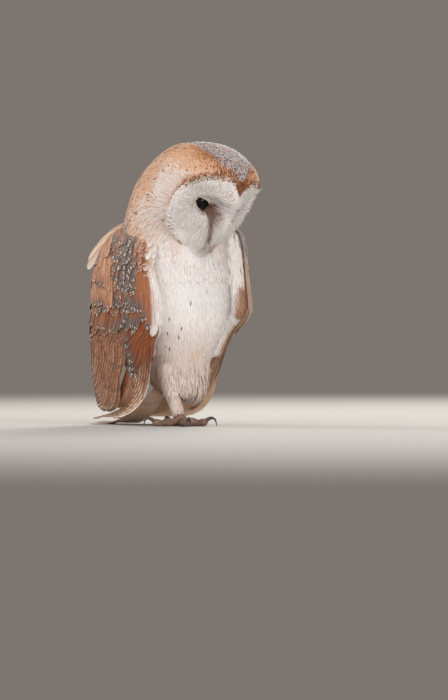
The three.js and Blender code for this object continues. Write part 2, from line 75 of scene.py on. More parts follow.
def blend(first: Array, second: Array, share: Array) -> Array:
    """first where share is 0, second where it is 1, for arrays of colours or points."""
    share = np.asarray(share, float)[..., None]
    return first * (1 - share) + second * share


def hump(value: Array, centre: float, width: float) -> Array:
    """A bell: exp(-((value - centre) / width)^2)."""
    return np.exp(-(((np.asarray(value, float) - centre) / width) ** 2))


def signed_power(value: Array, power: float) -> Array:
    """The value's size raised to a power, with its sign kept."""
    return np.sign(value) * np.abs(value) ** power


def across(field: Array, lie: Array) -> Array:
    """The part of each lie that runs along the surface whose outward directions are field, at length one."""
    return unit(lie - field * np.sum(lie * field, -1, keepdims=True))


def owl(x: Array, f: Array, z: Array) -> Array:
    """Points from their place left, forward and up."""
    return np.stack(np.broadcast_arrays(x, -np.asarray(f, float), z), -1).astype(float)


def left_ahead_up(points: Array) -> tuple[Array, Array, Array]:
    """How far left, ahead and up points are."""
    return points[..., 0], -points[..., 1], points[..., 2]


def circle(count: int) -> Array:
    """Angles that divide a full turn evenly."""
    return np.linspace(0, 2 * np.pi, count, endpoint=False)


def stations_at(count: int) -> Array:
    """Places of cross-sections along a small feather, as shares: closer together towards the tip."""
    return np.linspace(0, 1, count) ** 0.8


def distances(line: Array) -> Array:
    """How far along a line each of its points is."""
    return np.concatenate([[0], np.cumsum(np.linalg.norm(np.diff(line, axis=0), axis=1))])


def read_line(at: Array, reach: Array, line: Array) -> Array:
    """The points of a line, straight between those at the distances reach, read at other distances."""
    return np.stack([np.interp(at, reach, line[:, axis]) for axis in range(3)], -1)


def table(rows: Sequence[Sequence[float]], at: Array) -> Array:
    """Reads a table at places along its first column, every column on a smooth cubic through its neighbours.

    Args:
        rows: Rows whose first column rises or falls throughout.
        at: Where to read, in the first column's terms.

    Returns:
        One row for each place, with a last axis for the columns.
    """
    data = np.asarray(rows, float)
    if data[0, 0] > data[-1, 0]:
        data = data[::-1]
    key = data[:, 0]
    slope = np.empty_like(data)
    slope[1:-1] = (data[2:] - data[:-2]) / (key[2:] - key[:-2])[:, None]
    slope[0] = (data[1] - data[0]) / (key[1] - key[0])
    slope[-1] = (data[-1] - data[-2]) / (key[-1] - key[-2])
    at = np.asarray(at, float)
    i = np.clip(np.searchsorted(key, at, side="right") - 1, 0, len(key) - 2)
    span = (key[i + 1] - key[i])[..., None]
    t = np.clip((at - key[i])[..., None] / span, 0, 1)
    return (
        (2 * t**3 - 3 * t**2 + 1) * data[i]
        + (t**3 - 2 * t**2 + t) * span * slope[i]
        + (3 * t**2 - 2 * t**3) * data[i + 1]
        + (t**3 - t**2) * span * slope[i + 1]
    )


def by_share(rows: Sequence[Sequence[float]], share: Array) -> Array:
    """A table read by a share from 0 to 1 of its length counted in rows.

    Args:
        rows: The table, without a first column to read by.
        share: Where to read, from 0 to 1.

    Returns:
        One row for each place, with a last axis for the columns.
    """
    data = np.asarray(rows, float)
    numbered = np.column_stack([np.linspace(0, 1, len(data)), data])
    return table(numbered, share)[..., 1:]


def paint(code: str) -> Array:
    """A colour written as six hex digits, as the plain light values that a renderer mixes."""
    written = np.array([int(code[i : i + 2], 16) for i in (0, 2, 4)]) / 255
    return np.where(written <= 0.04045, written / 12.92, ((written + 0.055) / 1.055) ** 2.4)


def corners(share: Array) -> Iterator[tuple[Array, Array]]:
    """The eight corners of the cubes that places lie in, for blending between them.

    Args:
        share: The places, from 0 to 1 along each edge.

    Returns:
        Each corner's step from the lowest one, and its weight: the product of share or 1 - share along the axes.
    """
    for corner in range(8):
        step = np.array([corner & 1, (corner >> 1) & 1, (corner >> 2) & 1])
        yield step, np.prod(np.where(step == 1, share, 1 - share), axis=-1)


def ripple(points: Array, size: float, seed: int) -> Array:
    """Smooth noise from 0 to 1: random numbers at the corners of cubes, blended by ease in between.

    Args:
        points: Points in millimetres.
        size: Edge of the cubes.
        seed: Picks the numbers.

    Returns:
        One value for each point.
    """
    count = 4096
    numbers = np.random.default_rng(seed).random(count)
    cell = np.asarray(points, float) / size + 100.0
    low = np.floor(cell).astype(int)
    share = cell - low
    share = share * share * (3 - 2 * share)
    total = np.zeros(cell.shape[:-1])
    for step, weight in corners(share):
        total += weight * numbers[(low + step) @ np.array([73, 179, 283]) % count]
    return total


# ---------------------------------------------------------------- driving sizes


@dataclass(frozen=True)
class Head:
    """The head's place and pose, and how far the skull's feathers reach each way.

    Attributes:
        f: How far ahead of the owl's middle the head's middle is.
        z: How high it is.
        bow: How far the gaze is bowed to the floor.
        turn: How far it is turned to the left, or to the right where negative.
        tip: How far the head is tipped over to one side.
        middle_f: How far ahead of the head's middle the skull's widest ring is.
        half_width: Reach to each side.
        front: Reach to the front.
        back: Reach to the back.
        up: Reach to the crown.
        down: Reach to the chin.
        roundness: Power of the rounded ellipses; 2 is a true ellipse.
        narrow: How strongly the left half is drawn in, for each millimetre.
        swept: How strongly it is swept back, for each millimetre.
    """

    f: float = 39.6
    z: float = 213.3
    bow: float = np.radians(30)
    turn: float = np.radians(-6)
    tip: float = np.radians(8)
    middle_f: float = 3.0
    half_width: float = 48.0
    front: float = 44.0
    back: float = 44.5
    up: float = 49.6
    down: float = 46.0
    roundness: float = 2.5
    narrow: float = 0.0022
    swept: float = 0.0030

    @property
    def matrix(self) -> Array:
        """The turn from the head's directions to the owl's: tip, then bow, then turn.

        Returns:
            The matrix, for columns of x, y and z.
        """
        (cb, sb), (ct, st), (cp, sp) = ((np.cos(a), np.sin(a)) for a in (self.bow, self.turn, self.tip))
        tip = np.array([[cp, 0, sp], [0, 1, 0], [-sp, 0, cp]])
        bow = np.array([[1, 0, 0], [0, cb, -sb], [0, sb, cb]])
        turn = np.array([[ct, -st, 0], [st, ct, 0], [0, 0, 1]])
        return turn @ bow @ tip

    def direction(self, x: Array, f: Array, u: Array) -> Array:
        """A direction given in the head's own terms."""
        return owl(x, f, u) @ self.matrix.T

    def point(self, x: Array, f: Array, u: Array) -> Array:
        """A point given in the head's own terms: left, along the gaze, up to the crown.

        Below the crown the left half is drawn in and swept back by the square of the distance from the middle.
        """
        off = np.maximum(x, 0) ** 2 * ease(38, 16, u)
        return self.direction(x - self.narrow * off, f - self.swept * off, u) + owl(0, self.f, self.z)

    def places(self, points: Array) -> tuple[Array, Array, Array]:
        """The head's own left, forward and up of points.

        Args:
            points: The points.

        Returns:
            The three numbers, each in the shape of the points.
        """
        local = (points - owl(0, self.f, self.z)) @ self.matrix
        x, f, u = left_ahead_up(local)
        low, far = ease(38, 16, u), np.maximum(x, 0)
        bend = 4 * self.narrow * low * far
        wide = 2 * far / (1 + np.sqrt(np.maximum(1 - bend, 0)))
        return x + wide - far, f + self.swept * low * wide**2, u


@dataclass(frozen=True)
class Disc:
    """The facial disc: a heart-shaped dish round a broad middle ridge.

    Attributes:
        centre_u: Height of the outline's middle.
        outline: Rows of degrees from straight up, and radius.
        ridge: Rows of height, and how far forward the middle ridge stands.
        sweep: How far back the sides are swept.
        sweep_at: How far from the middle they are swept that far.
        crest: Height of the step off the ridge's crest.
        crest_width: Half the crest's width.
        bowl: Depth of the bowl round each eye.
        rim: How far the rim is raised.
        dip: Depth of the outline's notch.
        eye_x: How far from the middle each eye is.
        eye_f: How far forward the eyeball's middle is.
        eye_u: How high it is.
        eye_radius: The eyeball's radius.
    """

    centre_u: float = -5.0
    outline: tuple = (
        (0, 33.5), (5, 41), (9, 44.5), (17, 44.3), (26, 45), (38, 48), (56, 50.3), (75, 50.8),
        (90, 49), (105, 46), (120, 43), (134, 41.3), (150, 40.6), (166, 42.4), (180, 43.5),
    )
    ridge: tuple = (
        (-50, 28), (-40, 35.5), (-32, 41), (-15, 49.5), (3, 52.3), (17, 50.5), (24, 47), (30, 43.5), (46, 38),
    )
    sweep: float = 25.0
    sweep_at: float = 48.0
    crest: float = 9.5
    crest_width: float = 10.5
    bowl: float = 5.0
    rim: float = 2.6
    dip: float = 6.0
    eye_x: float = 19.0
    eye_f: float = 21.6
    eye_u: float = 3.4
    eye_radius: float = 8.2

    def radius(self, angle: Array) -> Array:
        """The outline's radius at an angle in radians from straight up, a little less beside the notch on the left."""
        leftward = np.degrees((angle + np.pi) % (2 * np.pi) - np.pi)
        return table(self.outline, np.abs(leftward))[..., 1] - self.dip * hump(leftward, 15, 11)

    def share(self, x: Array, u: Array) -> Array:
        """How far out a place on the face is: 0 in the middle and 1 on the outline."""
        return np.hypot(x, u - self.centre_u) / self.radius(np.arctan2(x, u - self.centre_u))

    def face(self, x: Array, u: Array) -> Array:
        """How far forward the dish stands: the ridge's height, less a step off its crest, a sweep back to the
        sides and a bowl round each eye.

        Args:
            x: Places across the face.
            u: Places up the face.

        Returns:
            The height along the gaze, in the head's own terms.
        """
        out = np.abs(x)
        ridge = table(self.ridge, np.clip(u, -50, 46))[..., 1]
        faded = 1 - 0.62 * ease(14, 30, u) - 0.35 * ease(-24, -40, u)
        crest = self.crest * faded * (1 - np.exp(-((out / self.crest_width) ** 4)))
        sweep = self.sweep * (out / self.sweep_at) ** 1.5
        bowl = self.bowl * np.exp(-(((out - 24) / 11) ** 2) - ((u + 3) / 24) ** 2)
        dish = ridge - crest - sweep - bowl
        eye = np.hypot(out - self.eye_x, u - self.eye_u)
        beside_eye = self.eye_f + self.eye_radius + 2.1 * np.maximum(eye - 8.0, 0)
        return -2.0 * np.logaddexp(-dish / 2.0, -beside_eye / 2.0)

    def surface(self, x: Array, u: Array) -> Array:
        """The dish with its rim raised."""
        return self.face(x, u) + self.rim * np.minimum(self.share(x, u), 1) ** 8


@dataclass(frozen=True)
class Torso:
    """Trunk and neck, from the belly's fluff up to inside the head.

    Rows are z, centre f, forward lean in degrees, half width, reach to the front and reach to the back.
    """

    rows: tuple = (
        (26, 12, 0, 4, 4, 5),
        (30, 10, 0, 14, 14, 22),
        (38, 8, 0, 20, 20, 34),
        (49, 6, 0, 24, 24.5, 43),
        (62, 4, 0, 29.5, 31, 51),
        (75, 3, 0, 36, 37, 55),
        (92, 2, 0, 44, 42.5, 57),
        (120, 0, 0, 49, 45, 57),
        (145, -1, 0, 50, 46, 56),
        (168, -1, 4, 48.5, 46, 54),
        (188, 4, 14, 46, 45, 53),
        (205, 12, 28, 44, 42, 52),
        (218, 22, 42, 40.5, 38, 47),
        (228, 33, 56, 35, 33, 40.5),
        (232, 41, 66, 28, 27, 33),
    )
    roundness: float = 2.25

    def surface(self, share: Array, angle: Array, grow: float) -> Array:
        """Points on the torso.

        A ring is a rounded ellipse, |x/a|^n + |q/b|^n = 1 with its own b to the front and to the back, in a plane
        that leans forward.

        Args:
            share: Place along the table, from 0 at the belly to 1 in the head.
            angle: Way round in radians, from straight ahead towards the left.
            grow: How far the ring is set out, or in where negative.

        Returns:
            The points.
        """
        row = by_share(self.rows, share)
        z, f, lean, half, front, back = (row[..., i] for i in range(6))
        power = 2 / self.roundness
        x = np.maximum(half + grow, 0.5) * signed_power(np.sin(angle), power)
        reach = np.where(np.cos(angle) > 0, front, back) + grow
        q = np.maximum(reach, 0.5) * signed_power(np.cos(angle), power)
        lean = np.radians(lean)
        return owl(x, f + q * np.cos(lean), z - q * np.sin(lean))


HEAD = Head()
DISC = Disc()
TORSO = Torso()

# The folded wings, as level slices that run back along the side and round behind the back; the left one is held
# higher and further forward at the shoulder. Rows are z, leading edge f, trailing edge f, outer x, inner x behind
# the back, and thickness.
WING_RIGHT = (
    (187, -10, -41.3, 33, 16, 4), (179, 8, -48.7, 42, 15, 8), (166, 17, -57.4, 49, 14, 11),
    (144, 24, -65.7, 55, 13, 12), (120, 31, -69.1, 57, 12, 12), (100, 34, -72.8, 57, 12, 11),
    (87, 32, -75.4, 56, 12, 9.5), (77, 20.4, -76.4, 54, 12.5, 8.5), (62, 15, -75.6, 52, 14, 7.5),
    (52, 6, -75, 50, 15, 6), (38, -7.7, -75, 47, 18, 4.5), (26, -19, -74.5, 44.5, 22, 3.6),
    (18, -31.5, -71.5, 42, 26, 3), (13, -42.5, -61, 40.5, 31, 2.4),
)
WING_LEFT = (
    (189, 18, -40, 38, 16, 4), (182, 36, -47, 46, 15, 9), (166, 38, -57, 54, 14, 12),
    (145, 38, -65, 57, 13, 13), (120, 39.5, -69, 58.5, 12, 12.5), (105, 40, -72, 58.5, 12, 12),
    (96, 31, -73.5, 58, 12, 11), (86, 19, -75.4, 57, 12, 9.5), (68, 11, -76, 53, 13.5, 7.5),
    (52, 6, -75, 50, 15, 6), (38, 1.5, -75, 47, 18, 4.5), (26, -4, -74.5, 44.5, 22, 3.6),
    (18, -13, -71.5, 42, 26, 3), (13, -24, -61, 40.5, 31, 2.4),
)

# The line of the long flight feathers, down and back to the floor. Rows are x, f, z, half width, half thickness, turn
# of the blade from upright to flat in degrees, and how much further back the left wing's lie.
PRIMARIES = (
    (50, 13, 71, 12, 1.8, 0, 17), (48.5, 7, 54, 15, 2, 2, 17), (45.5, 0, 40, 16.5, 2.2, 8, 15),
    (41.5, -12, 27, 16.5, 2.2, 24, 12), (36, -31, 17, 14.5, 2, 46, 7), (29.5, -57, 11, 12, 1.8, 68, 3),
    (22, -82, 8, 9, 1.5, 82, 0), (15, -100, 6.2, 5.5, 1.1, 90, 0), (12, -108, 5.8, 2, 0.7, 90, 0),
)

# The tail, laid back on the floor. Rows are f, z of its middle, half width and half thickness.
TAIL = (
    (-22, 38, 11, 4), (-34, 26, 16, 3.6), (-48, 14, 20, 2.6), (-64, 5.6, 22, 1.8),
    (-82, 1, 24, 1.8), (-98, 0.9, 24.5, 1.6), (-106, 0.7, 20, 1.4), (-111, 0.5, 11, 1.2),
)


# ---------------------------------------------------------------- meshes


def origin_shift() -> Array:
    """How far the frame's origin is from the owl's own, found from where the two eyes are in the frame.

    Returns:
        The vector from the owl's origin to the frame's, in millimetres.
    """
    boxes = [np.array(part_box(f"eye_{side}")) / MM for side in ("left", "right")]
    middle = np.mean([box.mean(0) for box in boxes], axis=0)
    return middle - HEAD.point(0.0, DISC.eye_f, DISC.eye_u)


SHIFT = origin_shift()


@dataclass
class Shape:
    """Points and faces on their way into a mesh.

    Attributes:
        points: The points, in millimetres.
        loops: The corners of all faces in a row, as indices of points.
        sides: How many corners each face has.
        shading: An outward direction for each corner, or None for plain smooth shading.
        under: For each corner, whether its face is on a feather's lower side, with shading only.
        colours: A colour for each corner.
        marks: Four amounts for each corner that a finish draws its markings from, or None.
        vane: For each corner the place across and along its feather and a number of its own, or None.
        patch: A place on the flat map for each corner.
    """

    points: Array
    loops: Array
    sides: Array
    colours: Array
    patch: Array
    shading: Array | None = None
    under: Array | None = None
    marks: Array | None = None
    vane: Array | None = None


def join(shapes: Sequence[Shape]) -> Shape:
    """Several shapes as one.

    Args:
        shapes: The shapes.

    Returns:
        All of them in a row, without what any of them lacks.
    """
    starts = np.cumsum([0] + [len(s.points) for s in shapes[:-1]])
    joined = {}
    for field in fields(Shape):
        values = [getattr(s, field.name) for s in shapes]
        if field.name == "loops":
            values = [loops + start for loops, start in zip(values, starts)]
        joined[field.name] = None if any(v is None for v in values) else np.concatenate(values)
    return Shape(**joined)


def sheet_loops(rows: int, columns: int, wrap: bool) -> Array:
    """Corners of the quads of a grid, facing the way rows x columns turn.

    Args:
        rows: Number of rows.
        columns: Number of columns.
        wrap: Whether the last column joins the first.

    Returns:
        The corners, four for each quad.
    """
    i = np.arange(rows - 1)[:, None]
    j = np.arange(columns if wrap else columns - 1)[None]
    k = (j + 1) % columns
    quads = np.stack([i * columns + j, i * columns + k, (i + 1) * columns + k, (i + 1) * columns + j], -1)
    return quads.reshape(-1, 4)


def turned_round(sides: Array) -> Array:
    """The order of corners that turns faces with these numbers of sides round."""
    starts = np.repeat(np.cumsum(sides) - sides, sides)
    return 2 * starts + np.repeat(sides, sides) - 1 - np.arange(len(starts))


def facing_out(points: Array, loops: Array, sides: Array) -> Array:
    """The loops, each face's turned round if the closed shape's volume comes out negative.

    Args:
        points: The shape's points.
        loops: The corners of its faces in a row.
        sides: How many corners each face has.

    Returns:
        The loops to use.
    """
    starts = np.cumsum(sides) - sides
    total = 0.0
    for step in range(1, int(sides.max()) - 1):
        has = sides > step + 1
        a, b, c = (points[loops[starts[has] + s]] for s in (0, step, step + 1))
        total += np.sum(a * np.cross(b, c))
    return loops if total >= 0 else loops[turned_round(sides)]


def closed_loft(grid: Array, colour: Array, wrap: bool = True) -> Shape:
    """A closed surface through rings, with a point in the middle of each end.

    Args:
        grid: Rings of points, shape (rings, points, 3).
        colour: One colour.
        wrap: Whether each ring closes on itself.

    Returns:
        The shape, with its patch laid out by ring and place.
    """
    rings, count = grid.shape[:2]
    ends = np.stack([grid[0].mean(0), grid[-1].mean(0)])
    points = np.concatenate([grid.reshape(-1, 3), ends])
    body = sheet_loops(rings, count, wrap)
    j = np.arange(count)
    k = (j + 1) % count
    first = np.stack([k, j, np.full(count, rings * count)], -1)
    last = np.stack([j, k, np.full(count, rings * count + 1)], -1)
    last[:, :2] += (rings - 1) * count
    loops = np.concatenate([body.ravel(), first.ravel(), last.ravel()])
    sides = np.concatenate([np.full(len(body), 4), np.full(2 * count, 3)])
    loops = facing_out(points, loops, sides)
    place = np.concatenate([
        np.stack(np.meshgrid(np.linspace(0, 0.98, count), np.linspace(0.02, 0.98, rings)), -1).reshape(-1, 2),
        [[0.5, 0.0], [0.5, 1.0]],
    ])
    return Shape(points, loops, sides, np.tile(colour, (len(loops), 1)), place[loops])


def placed(name: str, data: Any) -> bpy.types.Object:
    """Puts data into the scene.

    Args:
        name: The object's name.
        data: A mesh, lamp or camera.

    Returns:
        The object, at the origin.
    """
    made = bpy.data.objects.new(name, data)
    bpy.context.scene.collection.objects.link(made)
    return made


def new_mesh(name: str, points: Array, loops: Array, sides: Array) -> bpy.types.Mesh:
    """A mesh of points and faces.

    Args:
        name: Its name.
        points: The points.
        loops: The corners of all faces in a row.
        sides: How many corners each face has.

    Returns:
        The mesh.
    """
    mesh = bpy.data.meshes.new(name)
    mesh.vertices.add(len(points))
    mesh.vertices.foreach_set("co", points.astype(np.float32).ravel())
    mesh.loops.add(len(loops))
    mesh.loops.foreach_set("vertex_index", loops.astype(np.int32))
    mesh.polygons.add(len(sides))
    mesh.polygons.foreach_set("loop_start", (np.cumsum(sides) - sides).astype(np.int32))
    mesh.update(calc_edges=True)
    return mesh


def carry(mesh: bpy.types.Mesh, label: str, kind: str, values: Array | None) -> None:
    """Puts values on a mesh's corners.

    Args:
        mesh: The mesh.
        label: What the finishes know them by.
        kind: FLOAT_COLOR for four numbers, FLOAT_VECTOR for three.
        values: The values, or None for nothing.
    """
    if values is not None:
        layer = mesh.attributes.new(label, kind, "CORNER")
        layer.data.foreach_set(kind.split("_")[1].lower(), values.astype(np.float32).ravel())


def piece(
    name: str, shape: Shape, material: bpy.types.Material, stands_for: Sequence[str] = ()
) -> bpy.types.Object:
    """Makes a finished piece that rides on the owl.

    Args:
        name: The piece's name.
        shape: Its points, faces and what they carry.
        material: Its finish.
        stands_for: The CAD nodes that aren't shown because of it.

    Returns:
        The piece.
    """
    mesh = new_mesh(name, (shape.points + SHIFT) * MM, shape.loops, shape.sides)
    mesh.polygons.foreach_set("use_smooth", np.ones(len(shape.sides), bool))
    carry(mesh, "Plumage", "FLOAT_COLOR", np.column_stack([shape.colours, np.ones(len(shape.colours))]))
    carry(mesh, "Marks", "FLOAT_COLOR", shape.marks)
    carry(mesh, "Vane", "FLOAT_VECTOR", shape.vane)
    flat = mesh.uv_layers.new(name="OFBake")
    flat.data.foreach_set("uv", np.clip(shape.patch, 0, 1).astype(np.float32).ravel())
    carry(mesh, "custom_normal", "FLOAT_VECTOR", shape.shading)
    if shape.shading is not None:
        edge_of = np.empty(len(shape.loops), np.int32)
        mesh.loops.foreach_get("edge_index", edge_of)
        below = np.bincount(edge_of, shape.under, len(mesh.edges))
        mesh.edges.foreach_set("use_edge_sharp", below == 1)
    mesh.materials.append(material)
    mesh.update()
    made = placed(name, mesh)
    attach(made, "root")
    if stands_for:
        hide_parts(*stands_for)
    log.info("%s: %d triangles", name, int(np.sum(shape.sides - 2)))
    return made


def remeshed(shapes: Sequence[Shape], voxel: float, smoothing: int) -> tuple[Array, Array, Array]:
    """Melts overlapping closed shapes into one surface.

    Args:
        shapes: Closed shapes.
        voxel: Edge of the remesh's cubes, in millimetres.
        smoothing: How many times the surface is relaxed afterwards.

    Returns:
        Its points, its outward directions and its quads.
    """
    whole = join(shapes)
    made = placed("working", new_mesh("working", whole.points, whole.loops, whole.sides))
    remesh = made.modifiers.new("melt", "REMESH")
    remesh.mode = "VOXEL"
    remesh.voxel_size = voxel
    relax = made.modifiers.new("relax", "SMOOTH")
    relax.factor = 0.5
    relax.iterations = smoothing
    ready = made.evaluated_get(bpy.context.evaluated_depsgraph_get()).to_mesh()
    points, normals = np.empty((2, len(ready.vertices) * 3))
    ready.vertices.foreach_get("co", points)
    ready.vertex_normals.foreach_get("vector", normals)
    loops = np.empty(len(ready.loops), int)
    ready.loops.foreach_get("vertex_index", loops)
    made.to_mesh_clear()
    bpy.data.objects.remove(made)
    return points.reshape(-1, 3), normals.reshape(-1, 3), loops.reshape(-1, 4)


# ---------------------------------------------------------------- the body under the feathers


def skull_surface(grow: float, levels: int = 56, sides: int = 80) -> Array:
    """The skull: rays whose length is (|x/a|^n + |f/b|^n + |u/c|^n)^(-1/n), pressed back behind the dish.

    Args:
        grow: How far the surface is set out, or in where negative.
        levels: Rings from front to back.
        sides: Points in a ring.

    Returns:
        Rings of points.
    """
    tilt = np.linspace(0, np.pi, levels + 2)[1:-1, None]
    way = circle(sides)[None]
    x, f, u = np.sin(tilt) * np.sin(way), np.cos(tilt) + 0 * way, np.sin(tilt) * np.cos(way)
    reach_f = np.where(f > 0, HEAD.front, HEAD.back)
    reach_u = np.where(u > 0, HEAD.up, HEAD.down)
    n = HEAD.roundness
    total = np.abs(x / HEAD.half_width) ** n + np.abs(f / reach_f) ** n + np.abs(u / reach_u) ** n
    ray = total ** (-1 / n) + grow
    x, f, u = x * ray, HEAD.middle_f + f * ray, u * ray
    inward = 1 / np.maximum(DISC.share(x, u), 1)
    edge_u = DISC.centre_u + (u - DISC.centre_u) * inward
    limit = DISC.surface(x * inward, edge_u) - 1.5
    return HEAD.point(x, np.minimum(f, limit), u)


def dish_surface(sink: float, sides: int = 120) -> Array:
    """The facial disc as a closed plate with a socket round each eye.

    Args:
        sink: How far the dish is set back from the feathers' surface.
        sides: Points in a ring.

    Returns:
        Rings of points, from the middle of the dish out to the rim and back behind it.
    """
    way = circle(sides)[None]
    share = np.linspace(0.02, 0.985, 44)[:, None]
    ray = share * (DISC.radius(way) - sink)
    x, u = ray * np.sin(way), DISC.centre_u + ray * np.cos(way)
    eye = np.hypot(np.abs(x) - DISC.eye_x, u - DISC.eye_u)
    socket = 11 * (1 - ease(8.2, 10.8, eye))
    front = HEAD.point(x, DISC.surface(x, u) - sink - socket, u)
    rings = [front]
    for part, back in ((1.0, 2.2), (0.985, 5.0), (0.8, 15.0), (0.3, 16.0)):
        ray = part * (DISC.radius(way) - sink)
        x, u = ray * np.sin(way), DISC.centre_u + ray * np.cos(way)
        rings.append(HEAD.point(x, DISC.surface(x, u) - sink - back, u))
    return np.concatenate(rings)


def tube(rows: Sequence[Sequence[float]], grow: float, steps: int = 24, sides: int = 24) -> Array:
    """A round tube along rows of x, f, z and radius, with rounded ends.

    Args:
        rows: The rows, evenly spaced.
        grow: Added to the radius.
        steps: Rings along the tube.
        sides: Points in a ring.

    Returns:
        Rings of points.
    """
    share = np.concatenate([[0, 0], np.linspace(0, 1, steps), [1, 1]])
    line = by_share(rows, share)
    centre = owl(line[:, 0], line[:, 1], line[:, 2])
    fine = by_share(rows, np.clip(share + 0.02, 0, 1))
    coarse = by_share(rows, np.clip(share - 0.02, 0, 1))
    along = unit(owl(*(fine - coarse)[:, :3].T))
    side = unit(np.cross(np.array([1.0, 0.02, 0.01]), along))
    other = np.cross(along, side)
    radius = line[:, 3] + grow
    close = np.ones(len(share))
    close[[0, -1]], close[[1, -2]] = 0.25, 0.75
    push = np.zeros(len(share))
    push[[0, 1, -2, -1]] = [-0.95, -0.6, 0.6, 0.95]
    centre = centre + along * (push * radius)[:, None]
    way = circle(sides)
    ring = np.cos(way)[None, :, None] * side[:, None] + np.sin(way)[None, :, None] * other[:, None]
    return centre[:, None] + ring * (radius * close)[:, None, None]


@dataclass
class Hide:
    """The body's surface as a field: signed height above it and the way out, worked out from its points.

    Every point of the surface spreads its plane over the cells round it with a bell-shaped weight. The height at a
    cell is the weighted mean of its heights over those planes.

    Attributes:
        points: The surface's points.
        normals: Their outward directions.
        quads: The surface's faces.
        cell: Edge of a cell.
        reach: How many cells away a point still counts.
        bell: Width of the weight's bell.
    """

    points: Array
    normals: Array
    quads: Array
    cell: float = 2.0
    reach: int = 3
    bell: float = 2.3

    def __post_init__(self) -> None:
        """Spreads the surface's points over the cells."""
        points = self.points
        self.low = points.min(0) - 5 * self.cell
        self.count = np.ceil((points.max(0) + 5 * self.cell - self.low) / self.cell).astype(int)
        home = np.round((points - self.low) / self.cell).astype(int)
        total = int(np.prod(self.count))
        sums = np.zeros((5, total))
        steps = np.arange(-self.reach, self.reach + 1)
        for step in np.stack(np.meshgrid(steps, steps, steps), -1).reshape(-1, 3):
            place = np.clip(home + step, 0, self.count - 1)
            away = self.low + place * self.cell - points
            weight = np.exp(-np.sum(away**2, 1) / self.bell**2)
            index = np.ravel_multi_index(place.T, self.count)
            values = (weight, weight * np.sum(away * self.normals, 1), *(weight * self.normals.T))
            for row, value in enumerate(values):
                sums[row] += np.bincount(index, value, total)
        weight = np.maximum(sums[0], 1e-12)
        self.height = np.where(sums[0] > 1e-6, sums[1] / weight, 9.0)
        self.way = (sums[2:] / weight).T

    def read(self, points: Array) -> tuple[Array, Array]:
        """Height above the surface and the way out, read between the cells.

        Args:
            points: Where to read.

        Returns:
            Heights, and directions of length one.
        """
        place = np.clip((points - self.low) / self.cell, 0, self.count - 1.001)
        base = np.floor(place).astype(int)
        share = place - base
        height = np.zeros(points.shape[:-1])
        way = np.zeros(points.shape)
        for step, weight in corners(share):
            index = np.ravel_multi_index(np.moveaxis(base + step, -1, 0), self.count)
            height += weight * self.height[index]
            way += weight[..., None] * self.way[index]
        return height, unit(way)

    def onto(self, points: Array, height: Array | float) -> tuple[Array, Array]:
        """Points moved along the way out until they stand at a height, and the way out there.

        Args:
            points: The points.
            height: The height over the skin.

        Returns:
            The moved points, and the way out at each.
        """
        for _ in range(2):
            now, way = self.read(points)
            points = points - way * np.clip(now - height, -2.5, 2.5)[..., None]
        return points, self.read(points)[1]

    def scatter(self, wanted: Callable[[Array], Array], spacing: float, seed: int) -> Array:
        """Roots spread over part of the surface at an even but unruly spacing.

        Random points on the faces are sorted into cubes as wide as the spacing, and one stays in each.

        Args:
            wanted: Tells for points whether they are in the part.
            spacing: The cubes' edge.
            seed: Picks the random points.

        Returns:
            The roots.
        """
        dice = np.random.default_rng(seed)
        corners = self.points[self.quads]
        times = 3
        s, t = dice.random((2, times, len(corners), 1))
        spots = (corners[:, 0] * (1 - s) + corners[:, 1] * s) * (1 - t)
        spots = (spots + (corners[:, 3] * (1 - s) + corners[:, 2] * s) * t).reshape(-1, 3)
        spots = spots[wanted(spots)]
        spin = np.array([[0.8, 0.6, 0], [-0.48, 0.64, 0.6], [0.36, -0.48, 0.8]])
        cell = (spots @ spin) / spacing + 200
        home = np.floor(cell).astype(int)
        off = np.sum((cell - home - 0.5) ** 2, 1) + 0.15 * dice.random(len(spots))
        key = np.ravel_multi_index(home.T, (1024, 1024, 1024))
        order = np.lexsort((off, key))
        first = np.unique(key[order], return_index=True)[1]
        kept = spots[order[first]]
        return kept[off[order[first]] < 0.33]


# ---------------------------------------------------------------- tufts


@dataclass(frozen=True)
class Tuft:
    """The make of small feathers: how long and broad they are and how they lie.

    Attributes:
        length: Length in millimetres.
        half_width: Half width at the broadest.
        stations: Cross-sections along a feather.
        rise: How high the tip stands over the skin.
        root: How high the root stands.
        crown: How much higher the shaft is than the edges, as a share of the half width.
        spread: Random turn of the lie, as a share of one.
        vary: Random change of length, as a share of one.
        pointed: 0 for a round tip, 1 for a hair's.
        soft: How much of the skin's own shading the feather takes on.
    """

    length: float
    half_width: float
    stations: int = 5
    rise: float = 2.2
    root: float = 0.1
    crown: float = 0.16
    spread: float = 0.12
    vary: float = 0.2
    pointed: float = 0.0
    soft: float = 0.6

    @property
    def places(self) -> Array:
        """Where the stations are along a feather."""
        return stations_at(self.stations)

    def profile(self, t: Array) -> Array:
        """Half width along the feather, as a share: a full leaf, or a strand that thins to its end.

        Args:
            t: Places along the feather.

        Returns:
            One share for each.
        """
        leaf = np.sqrt(np.maximum(1 - np.abs(1.06 * t - 0.42) ** 2.2 / 0.42, 0.02)) * (0.55 + 0.45 * ease(0, 0.3, t))
        strand = ((1 - t) ** 0.7 * 0.95 + 0.05) * (0.3 + 0.7 * ease(0, 0.3, t))
        return leaf * (1 - self.pointed) + strand * self.pointed


